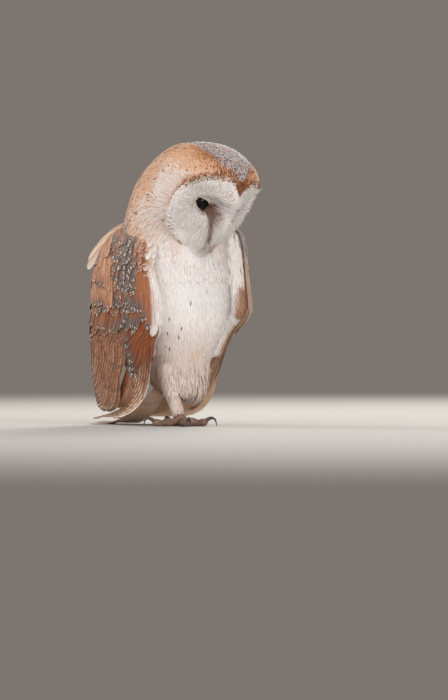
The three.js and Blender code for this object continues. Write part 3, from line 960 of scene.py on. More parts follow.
def leaf_loops(count: int, stations: int) -> tuple[Array, Array, Array]:
    """Faces of many closed leaves, each with a left, middle and right point at every station.

    Args:
        count: Number of leaves.
        stations: Stations along a leaf.

    Returns:
        The loops, the sides of each face, and for each corner 1 on the upper side and -1 on the lower.
    """
    i = np.arange(stations - 1)
    l, m, r = 3 * i, 3 * i + 1, 3 * i + 2
    upper = np.concatenate([np.stack([l, m, m + 3, l + 3], -1), np.stack([m, r, r + 3, m + 3], -1)])
    lower = np.stack([r, l, l + 3, r + 3], -1)
    end = 3 * (stations - 1)
    one = np.concatenate([upper.ravel(), lower.ravel(), [0, 2, 1], [end, end + 1, end + 2]])
    sides = np.concatenate([np.full(3 * (stations - 1), 4), [3, 3]])
    side_of = np.concatenate([np.ones(upper.size), -np.ones(lower.size + 6)])
    loops = (np.arange(count)[:, None] * 3 * stations + one).ravel()
    return loops, np.tile(sides, count), np.tile(side_of, count)


def tufts(
    make: Tuft,
    path: Array,
    field: Array,
    half: Array,
    colours: Array,
    patch: Array,
    seed: int,
) -> Shape:
    """Closed leaves along paths.

    At each station the section is a flat triangle: left and right edge, and a shaft that stands a little higher.
    The edges are the path -/+ the half width along (lie x way out).

    Args:
        make: The feathers' make.
        path: Middle lines, shape (feathers, stations, 3).
        field: The way out from the skin at each of those points.
        half: Half width of each feather.
        colours: Colours at the stations, shape (feathers, stations, 3).
        patch: Each root's place on the flat map.
        seed: For the feathers' own numbers.

    Returns:
        The shape.
    """
    count, stations = path.shape[:2]
    t = make.places
    along = unit(np.gradient(path, axis=1))
    side = unit(np.cross(along, field))
    up = np.cross(side, along)
    width = make.profile(t)[None] * half[:, None]
    droop = up * (width * make.crown)[..., None]
    thick = 0.06 + 0.1 * (1 - t)[None, :, None]
    edge = side * width[..., None]
    rows = np.stack([path - edge - droop, path + up * thick, path + edge - droop], 2)
    points = rows.reshape(-1, 3)
    base = unit(field * make.soft + up * (1 - make.soft))
    lean = 0.45 * (1 - 0.5 * make.soft)
    shade = np.stack([unit(base - side * lean), base, unit(base + side * lean)], 2).reshape(-1, 3)
    loops, sides, side_of = leaf_loops(count, stations)
    own = np.random.default_rng(seed).random(count)
    place = np.empty((count, stations, 3, 3))
    place[..., 0] = np.array([-1, 0, 1])[None, None]
    place[..., 1] = t[None, :, None]
    place[..., 2] = own[:, None, None]
    flat = patch[:, None, None] + PATCH * np.stack([place[..., 0] * 0.5, place[..., 1] - 0.5], -1)
    tint = np.repeat(colours[:, :, None], 3, 2).reshape(-1, 3)
    return Shape(
        points=points,
        loops=loops,
        sides=sides,
        colours=tint[loops],
        patch=flat.reshape(-1, 2)[loops],
        shading=shade[loops] * side_of[:, None],
        under=side_of < 0,
        vane=place.reshape(-1, 3)[loops],
    )


# ---------------------------------------------------------------- finishes


class Maths:
    """A socket that adds Math nodes when it is used in an expression."""

    def __init__(self, box: "Nodes", socket: Any) -> None:
        """Keeps the socket and the node tree it is in."""
        self.box, self.socket = box, socket

    def _join(self, operation: str, *values: Any) -> "Maths":
        """A Math node on values, in their order."""
        node = self.box.node("ShaderNodeMath", {"operation": operation}, dict(enumerate(values)))
        return Maths(self.box, node.outputs[0])

    def __add__(self, other: Any) -> "Maths":
        """self + other."""
        return self._join("ADD", self, other)

    def __sub__(self, other: Any) -> "Maths":
        """self - other."""
        return self._join("SUBTRACT", self, other)

    def __rsub__(self, other: Any) -> "Maths":
        """other - self."""
        return self._join("SUBTRACT", other, self)

    def __mul__(self, other: Any) -> "Maths":
        """self * other."""
        return self._join("MULTIPLY", self, other)

    def __pow__(self, other: Any) -> "Maths":
        """self ** other."""
        return self._join("POWER", self, other)

    def __or__(self, other: Any) -> "Maths":
        """The larger of self and other."""
        return self._join("MAXIMUM", self, other)

    __radd__ = __add__
    __rmul__ = __mul__

    def size(self) -> "Maths":
        """The value without its sign."""
        return self._join("ABSOLUTE", self)

    def sine(self) -> "Maths":
        """The value's sine."""
        return self._join("SINE", self)

    def ease(self, low: float, high: float) -> "Maths":
        """0 at low and 1 at high, smoothly; low may be above high.

        Args:
            low: Where it is 0.
            high: Where it is 1.

        Returns:
            The eased value.
        """
        ends = {"From Min": min(low, high), "From Max": max(low, high)}
        ends |= {"To Min": float(low > high), "To Max": float(low < high)}
        settings = {"interpolation_type": "SMOOTHSTEP"}
        node = self.box.node("ShaderNodeMapRange", settings, {"Value": self, **ends})
        return Maths(self.box, node.outputs["Result"])


class Nodes:
    """A node tree in the making, and the one method that adds nodes to it."""

    def __init__(self, tree: bpy.types.NodeTree) -> None:
        """Keeps the tree."""
        self.tree = tree

    def node(
        self, kind: str, settings: dict[str, Any] | None = None, inputs: dict[Any, Any] | None = None
    ) -> bpy.types.Node:
        """Adds a node.

        Args:
            kind: The node's type.
            settings: Its properties, which are set first.
            inputs: Values or links of its sockets, by name or number.

        Returns:
            The node.
        """
        made = self.tree.nodes.new(kind)
        for label, value in (settings or {}).items():
            setattr(made, label, value)
        for label, value in (inputs or {}).items():
            self.feed(made.inputs[label], value)
        return made

    def feed(self, socket: bpy.types.NodeSocket, value: Any) -> None:
        """Links a socket to a socket or an expression, or sets its value.

        Args:
            socket: The socket that is fed.
            value: A socket, an expression or a plain value.
        """
        if isinstance(value, Maths):
            value = value.socket
        if isinstance(value, bpy.types.NodeSocket):
            self.tree.links.new(value, socket)
        else:
            socket.default_value = value


class Paintbox(Nodes):
    """A material in the making."""

    def __init__(self, name: str, **constants: Any) -> None:
        """Makes the material and sets what is the same all over it.

        Args:
            name: The material's name.
            **constants: Values of the shader's sockets, with _ for a space.
        """
        self.material = bpy.data.materials.new(name)
        self.material.use_nodes = True
        super().__init__(self.material.node_tree)
        self.shader = self.tree.nodes["Principled BSDF"]
        for label, value in constants.items():
            self.feed(self.shader.inputs[label.replace("_", " ")], value)

    def mix(self, share: Any, first: Any, second: Any, way: str = "MIX") -> bpy.types.NodeSocket:
        """Two colours blended by a Mix node.

        Args:
            share: How much of the second colour.
            first: The first colour.
            second: The second colour.
            way: The way of blending.

        Returns:
            The blended colour.
        """
        settings = {"data_type": "RGBA", "blend_type": way}
        node = self.node("ShaderNodeMix", settings, {0: share, 6: first, 7: second})
        return node.outputs[2]

    def attribute(self, name: str) -> bpy.types.Node:
        """What the mesh carries under a name."""
        return self.node("ShaderNodeAttribute", {"attribute_name": name, "attribute_type": "GEOMETRY"})

    def parts(self, vector: Any) -> tuple[Maths, Maths, Maths]:
        """The three numbers of a vector."""
        node = self.node("ShaderNodeSeparateXYZ", None, {0: vector})
        return tuple(Maths(self, node.outputs[i]) for i in range(3))

    def vector(self, x: Any, y: Any, z: Any) -> bpy.types.NodeSocket:
        """A vector of three numbers."""
        return self.node("ShaderNodeCombineXYZ", None, {0: x, 1: y, 2: z}).outputs[0]

    def noise(self, scale: float, detail: float = 2.0, vector: Any = None) -> Maths:
        """Noise from 0 to 1, on the object's own coordinates unless a vector is given.

        Args:
            scale: How many waves there are in a unit.
            detail: How many finer layers are added.
            vector: Where it is read.

        Returns:
            The noise.
        """
        if vector is None:
            vector = self.node("ShaderNodeTexCoord").outputs["Object"]
        inputs = {"Vector": vector, "Scale": scale, "Detail": detail}
        return Maths(self, self.node("ShaderNodeTexNoise", None, inputs).outputs[0])

    def raise_by(self, height: Any, distance: float, strength: float) -> None:
        """Bumps the surface by a height."""
        inputs = {"Height": height, "Distance": distance, "Strength": strength}
        self.feed(self.shader.inputs["Normal"], self.node("ShaderNodeBump", None, inputs).outputs[0])

    def finish(self, colour: Any, roughness: Any = None) -> bpy.types.Material:
        """Feeds the shader's colour, and its roughness if it varies, and hands the material over.

        Args:
            colour: The colour.
            roughness: The roughness, or None to leave it.

        Returns:
            The finished material.
        """
        self.feed(self.shader.inputs["Base Color"], colour)
        if roughness is not None:
            self.feed(self.shader.inputs["Roughness"], roughness)
        return self.material


@dataclass(frozen=True)
class DownFinish:
    """Small feathers and the skin under them: the plumage's own colour, with barbs and a soft unevenness.

    Attributes:
        name: The material's name.
        barbs: How strongly the barbs show in the colour.
        sheen: The soft shine of its edges.
    """

    name: str
    barbs: float = 0.12
    sheen: float = 0.15

    def material(self) -> bpy.types.Material:
        """Colour from the plumage; barbs are slanting lines, sine of (along + 0.4 across) by the feather's own place.

        Returns:
            The finished material.
        """
        box = Paintbox(self.name, Sheen_Weight=self.sheen, Sheen_Roughness=0.5, Specular_IOR_Level=0.25)
        plumage = box.attribute("Plumage").outputs["Color"]
        out, along, own = box.parts(box.attribute("Vane").outputs["Vector"])
        lines = ((along * 8.0 + out.size() * 2.0) * 5.0 + own * 6.0).sine() * 0.5 + 0.5
        soft = box.noise(420.0, 3.0)
        shade = lines * self.barbs + soft * 0.16
        colour = box.mix(shade, plumage, (0.62, 0.56, 0.53, 1), "MULTIPLY")
        return box.finish(colour, soft * 0.2 + 0.66)


@dataclass(frozen=True)
class QuillFinish:
    """Large wing and tail feathers.

    Their marks are drawn by place: across the feather and from its tip in millimetres, and a number of its own.
    The four amounts that the mesh carries are the grey vermiculation, the dark bars, the pearl near the tip, and
    the brown peppering.
    """

    name: str

    def material(self) -> bpy.types.Material:
        """Peppering and vermiculation are noise cut sharp, bars are a cut sine, a pearl is a disc in a ring.

        Returns:
            The finished material.
        """
        box = Paintbox(self.name, Specular_IOR_Level=0.3, Sheen_Weight=0.06)
        plumage = box.attribute("Plumage").outputs["Color"]
        marks = box.attribute("Marks")
        frost, bars, pearl = box.parts(marks.outputs["Color"])
        pepper = Maths(box, marks.outputs["Alpha"])
        out, tip, own = box.parts(box.attribute("Vane").outputs["Vector"])
        fine = box.noise(1.0, 2.0, box.vector(out * 0.75, tip * 1.25, own * 40.0))
        cross = box.noise(1.0, 1.0, box.vector(out * 0.5, tip * 1.7, own * 40.0 + 7.0))
        broad = box.noise(1.0, 2.0, box.vector(out * 0.22, tip * 0.07, own * 40.0 + 3.0))
        upper = pepper.ease(0.06, 0.2)
        colour = box.mix(broad.ease(0.35, 0.65) * upper * 0.6, plumage, (0.60, 0.40, 0.27, 1), "MULTIPLY")
        dots = (fine + pepper * 0.07).ease(0.56, 0.63) * pepper
        colour = box.mix(dots * 0.85, colour, (0.045, 0.026, 0.02, 1))
        wave = (tip * 0.27 + own * 1.5 + broad * 1.6).sine().ease(0.86, 0.97)
        colour = box.mix(wave * bars * fine.ease(0.3, 0.55) * 0.8, colour, (0.07, 0.04, 0.03, 1))
        grey = box.mix(cross.ease(0.42, 0.58), (0.055, 0.042, 0.040, 1), (0.21, 0.17, 0.162, 1))
        colour = box.mix(frost, colour, grey)
        apart = (out * out * 1.3 + (tip - 2.4) * (tip - 2.4) * 0.5) ** 0.5 + (fine - 0.5) * 1.1
        colour = box.mix(apart.ease(2.1, 1.4) * pearl, colour, (0.03, 0.02, 0.018, 1))
        colour = box.mix(apart.ease(1.0, 0.65) * pearl, colour, (0.74, 0.70, 0.68, 1))
        shaft = out.size().ease(0.5, 0.25) * tip.ease(2.0, 12.0)
        colour = box.mix(shaft * 0.5, colour, (0.25, 0.13, 0.07, 1))
        # Painted shade: the vane's rear part, where the next feather lies over it, is darkened.
        overlap_shade = out.ease(-1.5, -5.5) * upper * 0.45
        colour = box.mix(overlap_shade, colour, (0.42, 0.32, 0.26, 1), "MULTIPLY")
        barbs = ((tip + out.size() * 1.3) * 7.0).sine() * 0.5 + 0.5
        colour = box.mix(barbs * 0.16, colour, (0.5, 0.42, 0.36, 1), "MULTIPLY")
        box.raise_by(barbs * 0.4 + shaft, 0.0002, 0.5)
        return box.finish(colour, barbs * 0.1 + 0.5)


@dataclass(frozen=True)
class HornFinish:
    """Claws and bill: horn that turns from one colour at the root to another at the tip, with fine growth lines."""

    name: str
    root: tuple
    tip: tuple
    roughness: float

    def material(self) -> bpy.types.Material:
        """The colour runs from root to tip by the piece's own map; lines follow it.

        Returns:
            The finished material.
        """
        box = Paintbox(self.name, Coat_Roughness=0.15, Specular_IOR_Level=0.5)
        _, along, _ = box.parts(box.node("ShaderNodeUVMap", {"uv_map": "OFBake"}).outputs[0])
        soft = box.noise(700.0, 3.0)
        colour = box.mix((along + soft * 0.25).ease(0.2, 0.85), self.root, self.tip)
        lines = (along * 160.0 + soft * 5.0).sine()
        box.raise_by(lines * 0.3 + soft, 0.0001, 0.35)
        return box.finish(colour, soft * 0.15 + self.roughness)


@dataclass(frozen=True)
class ToeFinish:
    """Bare toes: brownish-pink skin with small round scales."""

    name: str

    def material(self) -> bpy.types.Material:
        """Scales are cells of a Voronoi pattern, raised in the middle and darker in their seams.

        Returns:
            The finished material.
        """
        box = Paintbox(self.name, Specular_IOR_Level=0.35)
        place = box.node("ShaderNodeTexCoord").outputs["Object"]
        cells = box.node("ShaderNodeTexVoronoi", None, {"Vector": place, "Scale": 900.0})
        seam = Maths(box, cells.outputs["Distance"])
        soft = box.noise(160.0, 3.0)
        colour = box.mix(soft.ease(0.3, 0.7), (0.33, 0.19, 0.14, 1), (0.20, 0.11, 0.08, 1))
        colour = box.mix(seam.ease(0.35, 0.7) * 0.7, colour, (0.07, 0.04, 0.03, 1))
        box.raise_by(1.0 - seam, 0.0004, 0.6)
        return box.finish(colour, soft * 0.2 + 0.45)


@dataclass(frozen=True)
class EyeFinish:
    """A wet near-black eye: a very dark brown ring round the pupil under a clear glossy coat."""

    name: str

    def material(self) -> bpy.types.Material:
        """The ring follows the eye's own map, from its middle outwards, with fine spokes.

        Returns:
            The finished material.
        """
        box = Paintbox(
            self.name, Roughness=0.08, Coat_Weight=0.15, Coat_Roughness=0.03, Specular_IOR_Level=0.1
        )
        way, out, _ = box.parts(box.node("ShaderNodeUVMap", {"uv_map": "OFBake"}).outputs[0])
        spokes = box.noise(1.0, 2.0, box.vector(way * 60.0, out * 6.0, 0.0))
        ring = out.ease(0.26, 0.36) * out.ease(0.75, 0.55)
        colour = box.mix(ring * spokes, (0.0025, 0.002, 0.002, 1), (0.02, 0.009, 0.005, 1))
        return box.finish(colour)


# ---------------------------------------------------------------- markings


class Tint(Enum):
    """The plumage's colours."""

    WHITE = "f1ece9"
    CREAM = "e9d7c8"
    BUFF = "dfb799"
    PINK = "dfc8bb"
    ORANGE = "c08457"
    RUFOUS = "96572f"
    TAWNY = "b98a60"
    SLATE = "b6aaac"
    DARK = "2c2220"
    BROWN = "5d3a27"

    @property
    def light(self) -> Array:
        """The colour as plain light values."""
        return paint(self.value)


# Dark spots of the breast and flanks: degrees round from straight ahead to the left, and height.
BREAST_SPOTS = (
    (-56, 84), (-43, 80), (-81, 76), (-62, 73), (-56, 70), (-84, 69), (-77, 65), (-80, 60), (-69, 58),
    (-36, 87), (-24, 111), (-52, 98), (52, 92), (66, 82), (40, 76), (72, 70), (58, 104), (60, 62), (80, 74),
)


class Markings:
    """Where the plumage has which colour, told from places on the owl alone, for skin and feathers alike."""

    def ground(self, points: Array) -> Array:
        """The plumage's colour at points.

        The crown's grey patch narrows to a point at the forehead, with an orange border. Buff covers the sides of
        the head behind a slanting line, the nape and the mantle; the rest is white, warmer on the belly.

        Args:
            points: The points.

        Returns:
            One colour each.
        """
        x, f, u = HEAD.places(points)
        left, ahead, z = left_ahead_up(points)
        out = np.abs(x)
        uneven = ripple(points, 9.0, 3) - 0.5
        streak = ripple(points * np.array([1, 1, 0.22]), 3.4, 5)
        round_deg = np.degrees(np.arctan2(np.abs(left), ahead - 4 - 38 * ease(185, 235, z)))
        on_head = ease(168, 215, z) * ease(-66, -36, f)
        slant = ease(-24, 20, -14 - 0.55 * (21 - u) - f + 14 * uneven + 10 * (streak - 0.5))
        head_buff = np.maximum(slant, ease(19, 33, u + 8 * uneven))
        body_buff = ease(56, 112, round_deg + 26 * uneven + 22 * (streak - 0.5)) * ease(96, 128, z)
        mantle = ease(96, 138, round_deg + 20 * uneven + 20 * (streak - 0.5))
        buff = np.maximum(blend(body_buff[..., None], head_buff[..., None], on_head)[..., 0], mantle)
        colour = blend(Tint.WHITE.light * 0.95, Tint.PINK.light, ease(105, 45, z) * 0.8)
        front = ease(0.5, 0.85, streak) * ease(210, 190, z) * ease(130, 160, z) * ease(30, 60, round_deg)
        colour = blend(colour, Tint.BUFF.light, 0.4 * front)
        bib = hump(z, 158, 16) * ease(70, 30, round_deg) * ease(0.3, 0.8, streak)
        side = ease(20, 50, round_deg) * ease(150, 175, z) * (0.6 + 0.5 * streak)
        colour = blend(colour, Tint.PINK.light, np.clip(0.6 * bib + 0.8 * side, 0, 1))
        tone = blend(Tint.PINK.light, Tint.BUFF.light, ease(0.25, 0.8, buff * (0.75 + 0.5 * streak)))
        colour = blend(colour, tone, ease(0.0, 0.8, buff))
        colour = blend(colour, Tint.ORANGE.light, np.clip(0.35 * mantle * (0.55 + uneven), 0, 0.8))
        edge = np.abs(x - 3) - 26 * (1 - np.exp(-np.maximum(35.5 - f, 0) / 13))
        on_top = on_head * ease(20, 30, u)
        wide = hump(edge, 5, 12) * on_head * ease(14, 24, u)
        colour = blend(colour, Tint.ORANGE.light, np.clip(wide * (0.8 + uneven), 0, 0.9))
        border = hump(edge, 2.5, 4.5) * on_top * ease(-30, 8, f)
        notch = hump(np.hypot(x, 0.7 * (u - 29)), 0, 10) * ease(28, 35, f)
        share = DISC.share(x, u)
        rim = ease(1.16, 1.06, share) * ease(0.86, 0.92, share) * ease(28, 18, out) * ease(8, 20, f) * ease(20, 26, u)
        colour = blend(colour, Tint.RUFOUS.light * 0.7, np.clip(rim * 1.1, 0, 1))
        colour = blend(colour, Tint.RUFOUS.light, np.clip(0.85 * border + notch, 0, 1))
        colour = blend(colour, Tint.SLATE.light, self.slate(points) * 0.95)
        mark = hump(round_deg, 10, 11) * hump(z, 60, 8) * ease(-3.0, 1.0, -left)
        colour = blend(colour, Tint.BUFF.light, 0.55 * mark)
        return colour

    def smudge(self, x: Array, u: Array) -> Array:
        """How brown the dish is from an eye's inner corner down beside the bill, from 0 to 1.

        Args:
            x: Places across the face.
            u: Places up the face.

        Returns:
            The amount of brown, which passes 1 in the middle of the smudge.
        """
        middle = 11.3 + 0.5 * hump(u, -4, 4) - 0.6 * ease(-8, -13, u) - 1.4 * ease(-13, -19, u)
        middle = middle - 3.4 * ease(-19, -26, u)
        width = 1.1 + 3.0 * hump(u, 0.5, 6.0) + 0.8 * ease(-21, -26, u)
        dark = (1.5 + 0.7 * ease(-10, -4, u)) * (1 - 0.25 * ease(-8, -16, u) - 0.3 * ease(-20, -26, u))
        return np.exp(-(((np.abs(x) - middle) / width) ** 2)) * ease(9, 5, u) * ease(-38, -31, u) * dark

    def slate(self, points: Array) -> Array:
        """How much of the crown's and the mantle's grey there is at points.

        Args:
            points: The points.

        Returns:
            The share of grey for each.
        """
        x, f, u = HEAD.places(points)
        _, ahead, z = left_ahead_up(points)
        uneven = ripple(points, 6.0, 11) - 0.5
        on_head = ease(178, 205, z) * ease(20, 30, u) * ease(-46, -24, f)
        half = 26 * (1 - np.exp(-np.maximum(35.5 - f, 0) / 13))
        crown = on_head * ease(1.5, -1.5, np.abs(x - 3) - half + 3 * uneven) * ease(35.5, 33, f + 4 * uneven)
        back = ease(-14, -30, ahead) * ease(200, 186, z) * ease(0.46, 0.6, ripple(points, 17.0, 21))
        return np.clip(crown + back, 0, 1)

    def feathers(self, roots: Array, tips: Array, stations: int, seed: int) -> Array:
        """Colours along small feathers.

        Each feather takes the ground's colour at its own tip, a little darker at the root: partly the feathers' greyer
        bases and partly painted shade where they overlap. Grey ones end in a black and white pearl or in a dark fleck;
        a few of the buff ones and the named ones of the breast end in a dark spot.

        Args:
            roots: The feathers' roots.
            tips: The feathers' tips.
            stations: Cross-sections along a feather.
            seed: Picks which.

        Returns:
            Colours of shape (feathers, stations, 3).
        """
        dice = np.random.default_rng(seed)
        count = len(roots)
        t = stations_at(stations)
        wander = 2.2 + 2.8 * ease(34, 18, HEAD.places(tips)[2]) * ease(150, 175, tips[:, 2])
        ground = self.ground(tips + wander[:, None] * dice.normal(size=tips.shape))
        tone = 1 + 0.08 * (dice.random(count) - 0.5)
        # Darker towards the root: partly the bases' own grey, partly painted shade where the feathers overlap.
        colours = ground[:, None] * (tone[:, None] * (0.92 + 0.1 * t)[None])[..., None]
        slate = self.slate(tips)
        draw = dice.random(count)
        grey = slate > 0.5
        late = t > 0.5
        end = t > 0.75

        def dab(which: Array, where: Array, tint: Array, amount: float = 1.0) -> None:
            """Paints some stations of some feathers."""
            chosen = which[:, None] & where[None]
            colours[chosen] = colours[chosen] * (1 - amount) + tint * amount

        point = t > 0.9
        dab(grey & (draw < 0.4), late, Tint.DARK.light, 0.7)
        dab(grey & (draw < 0.4), point, Tint.WHITE.light, 1.0)
        dab(grey & (draw > 0.4) & (draw < 0.6), end, Tint.DARK.light, 0.6)
        dab(grey & (draw > 0.88), late, Tint.ORANGE.light, 0.55)
        left, ahead, z = left_ahead_up(tips)
        round_deg = np.degrees(np.arctan2(left, ahead - 4))
        buff = (ground[:, 2] < 0.72 * ground[:, 0]) & ~grey & (z > 120)
        cell = np.floor(tips / 8.5 + 50).astype(int)
        key = np.ravel_multi_index(cell.T, (256, 256, 256))
        order = np.lexsort((draw, key))
        first = np.zeros(count, bool)
        first[order[np.unique(key[order], return_index=True)[1]]] = True
        spotted = first & buff & (dice.random(count) < 0.62)
        dab(spotted, end, Tint.DARK.light, 0.85)
        spots = np.array(BREAST_SPOTS, float)
        gap = np.hypot((round_deg[:, None] - spots[:, 0]) * 0.7, z[:, None] - spots[:, 1])
        gap[z > 130] = 99.0
        chosen = np.zeros(count, bool)
        near = gap.argmin(0)
        chosen[near[gap.min(0) < 4.0]] = True
        dab(chosen, t > 0.7, Tint.DARK.light, 0.92)
        return np.clip(colours, 0, 1)


MARKINGS = Markings()


# ---------------------------------------------------------------- the coat of small feathers


def lie(points: Array) -> Array:
    """Which way feathers point: away from the face over the head, then down and a little back over the body.

    Args:
        points: Points near the skin.

    Returns:
        A direction for each.
    """
    x, f, u = HEAD.places(points)
    left, _, z = left_ahead_up(points)
    away = unit(HEAD.direction(x, f - 46, u - 8))
    behind = np.clip(np.abs(left) / 40, 0, 1)
    down = unit(owl(0 * z + 0.05 * np.sign(left), -0.16 - 0.5 * behind * ease(150, 190, z), 0 * z - 1))
    return blend(down, away, ease(182, 208, z) * ease(-44, -12, f))


def comb(hide: Hide, roots: Array, make: Tuft, length: Array, rise: Array, seed: int) -> tuple[Array, Array]:
    """Middle lines of feathers that follow the lie over the skin.

    From its root each line takes equal steps along the lie, and every point is moved to its own height over the
    skin, which goes from the root's height to the tip's.

    Args:
        hide: The skin's field.
        roots: Where the feathers start.
        make: The feathers' make.
        length: Each feather's length.
        rise: Each tip's height.
        seed: For the random turns.

    Returns:
        Points and ways out, both of shape (feathers, stations, 3).
    """
    dice = np.random.default_rng(seed)
    point, way = hide.onto(roots, make.root)
    turn = make.spread * dice.normal(size=(len(roots), 3))
    heading = across(way, lie(point) + turn)
    line, ways = [point], [way]
    for before, t in zip(make.places, make.places[1:]):
        height = make.root + (rise - make.root) * t**1.2
        step = (length * (t - before))[:, None]
        point, way = hide.onto(point + heading * step, height)
        heading = across(way, 0.55 * heading + 0.45 * (lie(point) + turn))
        line.append(point)
        ways.append(way)
    return np.stack(line, 1), np.stack(ways, 1)


def round_map(points: Array) -> Array:
    """A flat map of the body: way round and height, with the head unrolled about its own middle above.

    Args:
        points: Points near the skin.

    Returns:
        A place on the map for each.
    """
    x, f, u = HEAD.places(points)
    left, ahead, z = left_ahead_up(points)
    head = ease(180, 195, z)
    around = np.where(head > 0.5, np.arctan2(x, u + 20), np.arctan2(left, ahead))
    up = np.where(head > 0.5, 0.55 + 0.42 * (60 - f) / 120, 0.02 + 0.5 * z / 200)
    return np.stack([0.02 + 0.96 * (around / (2 * np.pi) + 0.5), up], -1)


@dataclass(frozen=True)
class Tract:
    """A part of the coat: where it grows, how close and of which make.

    Attributes:
        name: The piece's name.
        make: The feathers' make.
        spacing: How far apart the roots are.
        wanted: Tells for points whether they are in the part.
        seed: Picks the random numbers.
        slot: Not used.
        stands_for: The CAD nodes that aren't shown because of the piece.
        long_where: Tells for points how many times longer the feathers are, or None for once.
        lining: Whether it is the wings' lining, which has colours of its own.
    """

    name: str
    make: Tuft
    spacing: float
    wanted: Callable[[Array], Array]
    seed: int
    slot: str
    stands_for: tuple = ()
    long_where: Callable[[Array], Array] | None = None
    lining: bool = False

    def build(self, hide: Hide, material: bpy.types.Material) -> bpy.types.Object:
        """Scatters, combs and colours the feathers.

        Args:
            hide: The skin's field.
            material: The finish.

        Returns:
            The piece.
        """
        roots = hide.scatter(self.wanted, self.spacing, self.seed)
        dice = np.random.default_rng(self.seed + 1)
        more = np.ones(len(roots)) if self.long_where is None else self.long_where(roots)
        length = self.make.length * more * (1 + self.make.vary * (dice.random(len(roots)) - 0.5) * 2)
        rise = self.make.rise * (0.75 + 0.5 * dice.random(len(roots))) * more**1.5
        path, ways = comb(hide, roots, self.make, length, rise, self.seed + 2)
        half = self.make.half_width * (0.85 + 0.3 * dice.random(len(roots))) * np.sqrt(more)
        colours = MARKINGS.feathers(path[:, 0], path[:, -1], self.make.stations, self.seed + 3)
        if self.lining:
            colours = self.lining_colours(path[:, 0], dice)[:, None] * np.ones_like(colours)
        shape = tufts(self.make, path, ways, half, colours, round_map(path[:, 0]), self.seed + 4)
        return piece(self.name, shape, material, self.stands_for)

    def lining_colours(self, roots: Array, dice: np.random.Generator) -> Array:
        """White feathers, with an orange strip along the left wing's front edge and orange ones behind the back.

        Args:
            roots: Where the feathers start.
            dice: The random generator.

        Returns:
            One colour each.
        """
        left, ahead, z = left_ahead_up(roots)
        inner = Tint.WHITE.light * (0.9 + 0.1 * dice.random((len(roots), 1)))
        strip = ease(32.5, 35, ahead) * ease(98, 104, z) * ease(140, 130, z) * (left > 40)
        inner = blend(inner, Tint.ORANGE.light * 0.6, 0.9 * strip)
        behind = ease(-30, -44, ahead) * (0.7 + 0.3 * dice.random(len(roots)))
        return blend(inner, Tint.ORANGE.light * 0.9, behind)


def in_dish(points: Array) -> Array:
    """Whether points are on the dish's face."""
    x, f, u = HEAD.places(points)
    return (DISC.share(x, u) < 1.0) & (f > DISC.surface(x, u) - 7.0)


def on_head(points: Array) -> Array:
    """Whether points are on the head outside the dish: the crown, the sides and the nape.

    Args:
        points: The points.

    Returns:
        True or false for each.
    """
    _, f, u = HEAD.places(points)
    top = u > -4 - 0.9 * (f - 10)
    return ~in_dish(points) & (points[..., 2] > 182) & top


def under_wing(points: Array) -> Array:
    """Whether a folded wing covers points.

    Args:
        points: The points.

    Returns:
        True or false for each.
    """
    left, ahead, z = left_ahead_up(points)
    covered = np.zeros(len(points), bool)
    for side, rows in ((-1, WING_RIGHT), (1, WING_LEFT)):
        row = table(rows, np.clip(z, 20, 180))
        lead, inner = row[..., 1], row[..., 4]
        beside = (left * side > 30) & (ahead < lead - 9)
        behind = (left * side > inner + 7) & (ahead < -24)
        covered |= (beside | behind) & (z > 20) & (z < 172)
    return covered


def on_leg(points: Array) -> Array:
    """Whether points are on the standing leg below the belly."""
    left, ahead, z = left_ahead_up(points)
    return (z < 36) & (np.hypot(left + 16, ahead - 17) < 14)


def crown_right(points: Array) -> Array:
    """Whether points are on the head's right half."""
    return on_head(points) & (HEAD.places(points)[0] <= 0)


def crown_left(points: Array) -> Array:
    """Whether points are on the head's left half."""
    return on_head(points) & (HEAD.places(points)[0] > 0)


def bare(points: Array) -> Array:
    """Whether neither a wing nor the dish is over points."""
    return ~under_wing(points) & ~in_dish(points)


def on_neck(points: Array) -> Array:
    """Whether points are on the neck and shoulders."""
    return bare(points) & ~on_head(points) & (points[..., 2] > 142)


def on_breast(points: Array) -> Array:
    """Whether points are on the breast and flanks."""
    return bare(points) & (points[..., 2] <= 150) & (points[..., 2] > 50)


def on_belly(points: Array) -> Array:
    """Whether points are on the belly's lower end."""
    return bare(points) & ~on_leg(points) & (points[..., 2] <= 62)


def on_shank(points: Array) -> Array:
    """Whether points are on the standing leg's feathered part."""
    return on_leg(points) & (points[..., 2] > 9.5)


def over_fist(points: Array) -> Array:
    """How many times longer the fluff is at points: most over the drawn-up foot."""
    return 1 + 1.1 * hump(np.linalg.norm(points - owl(9, 22, 46), axis=-1), 0, 13)


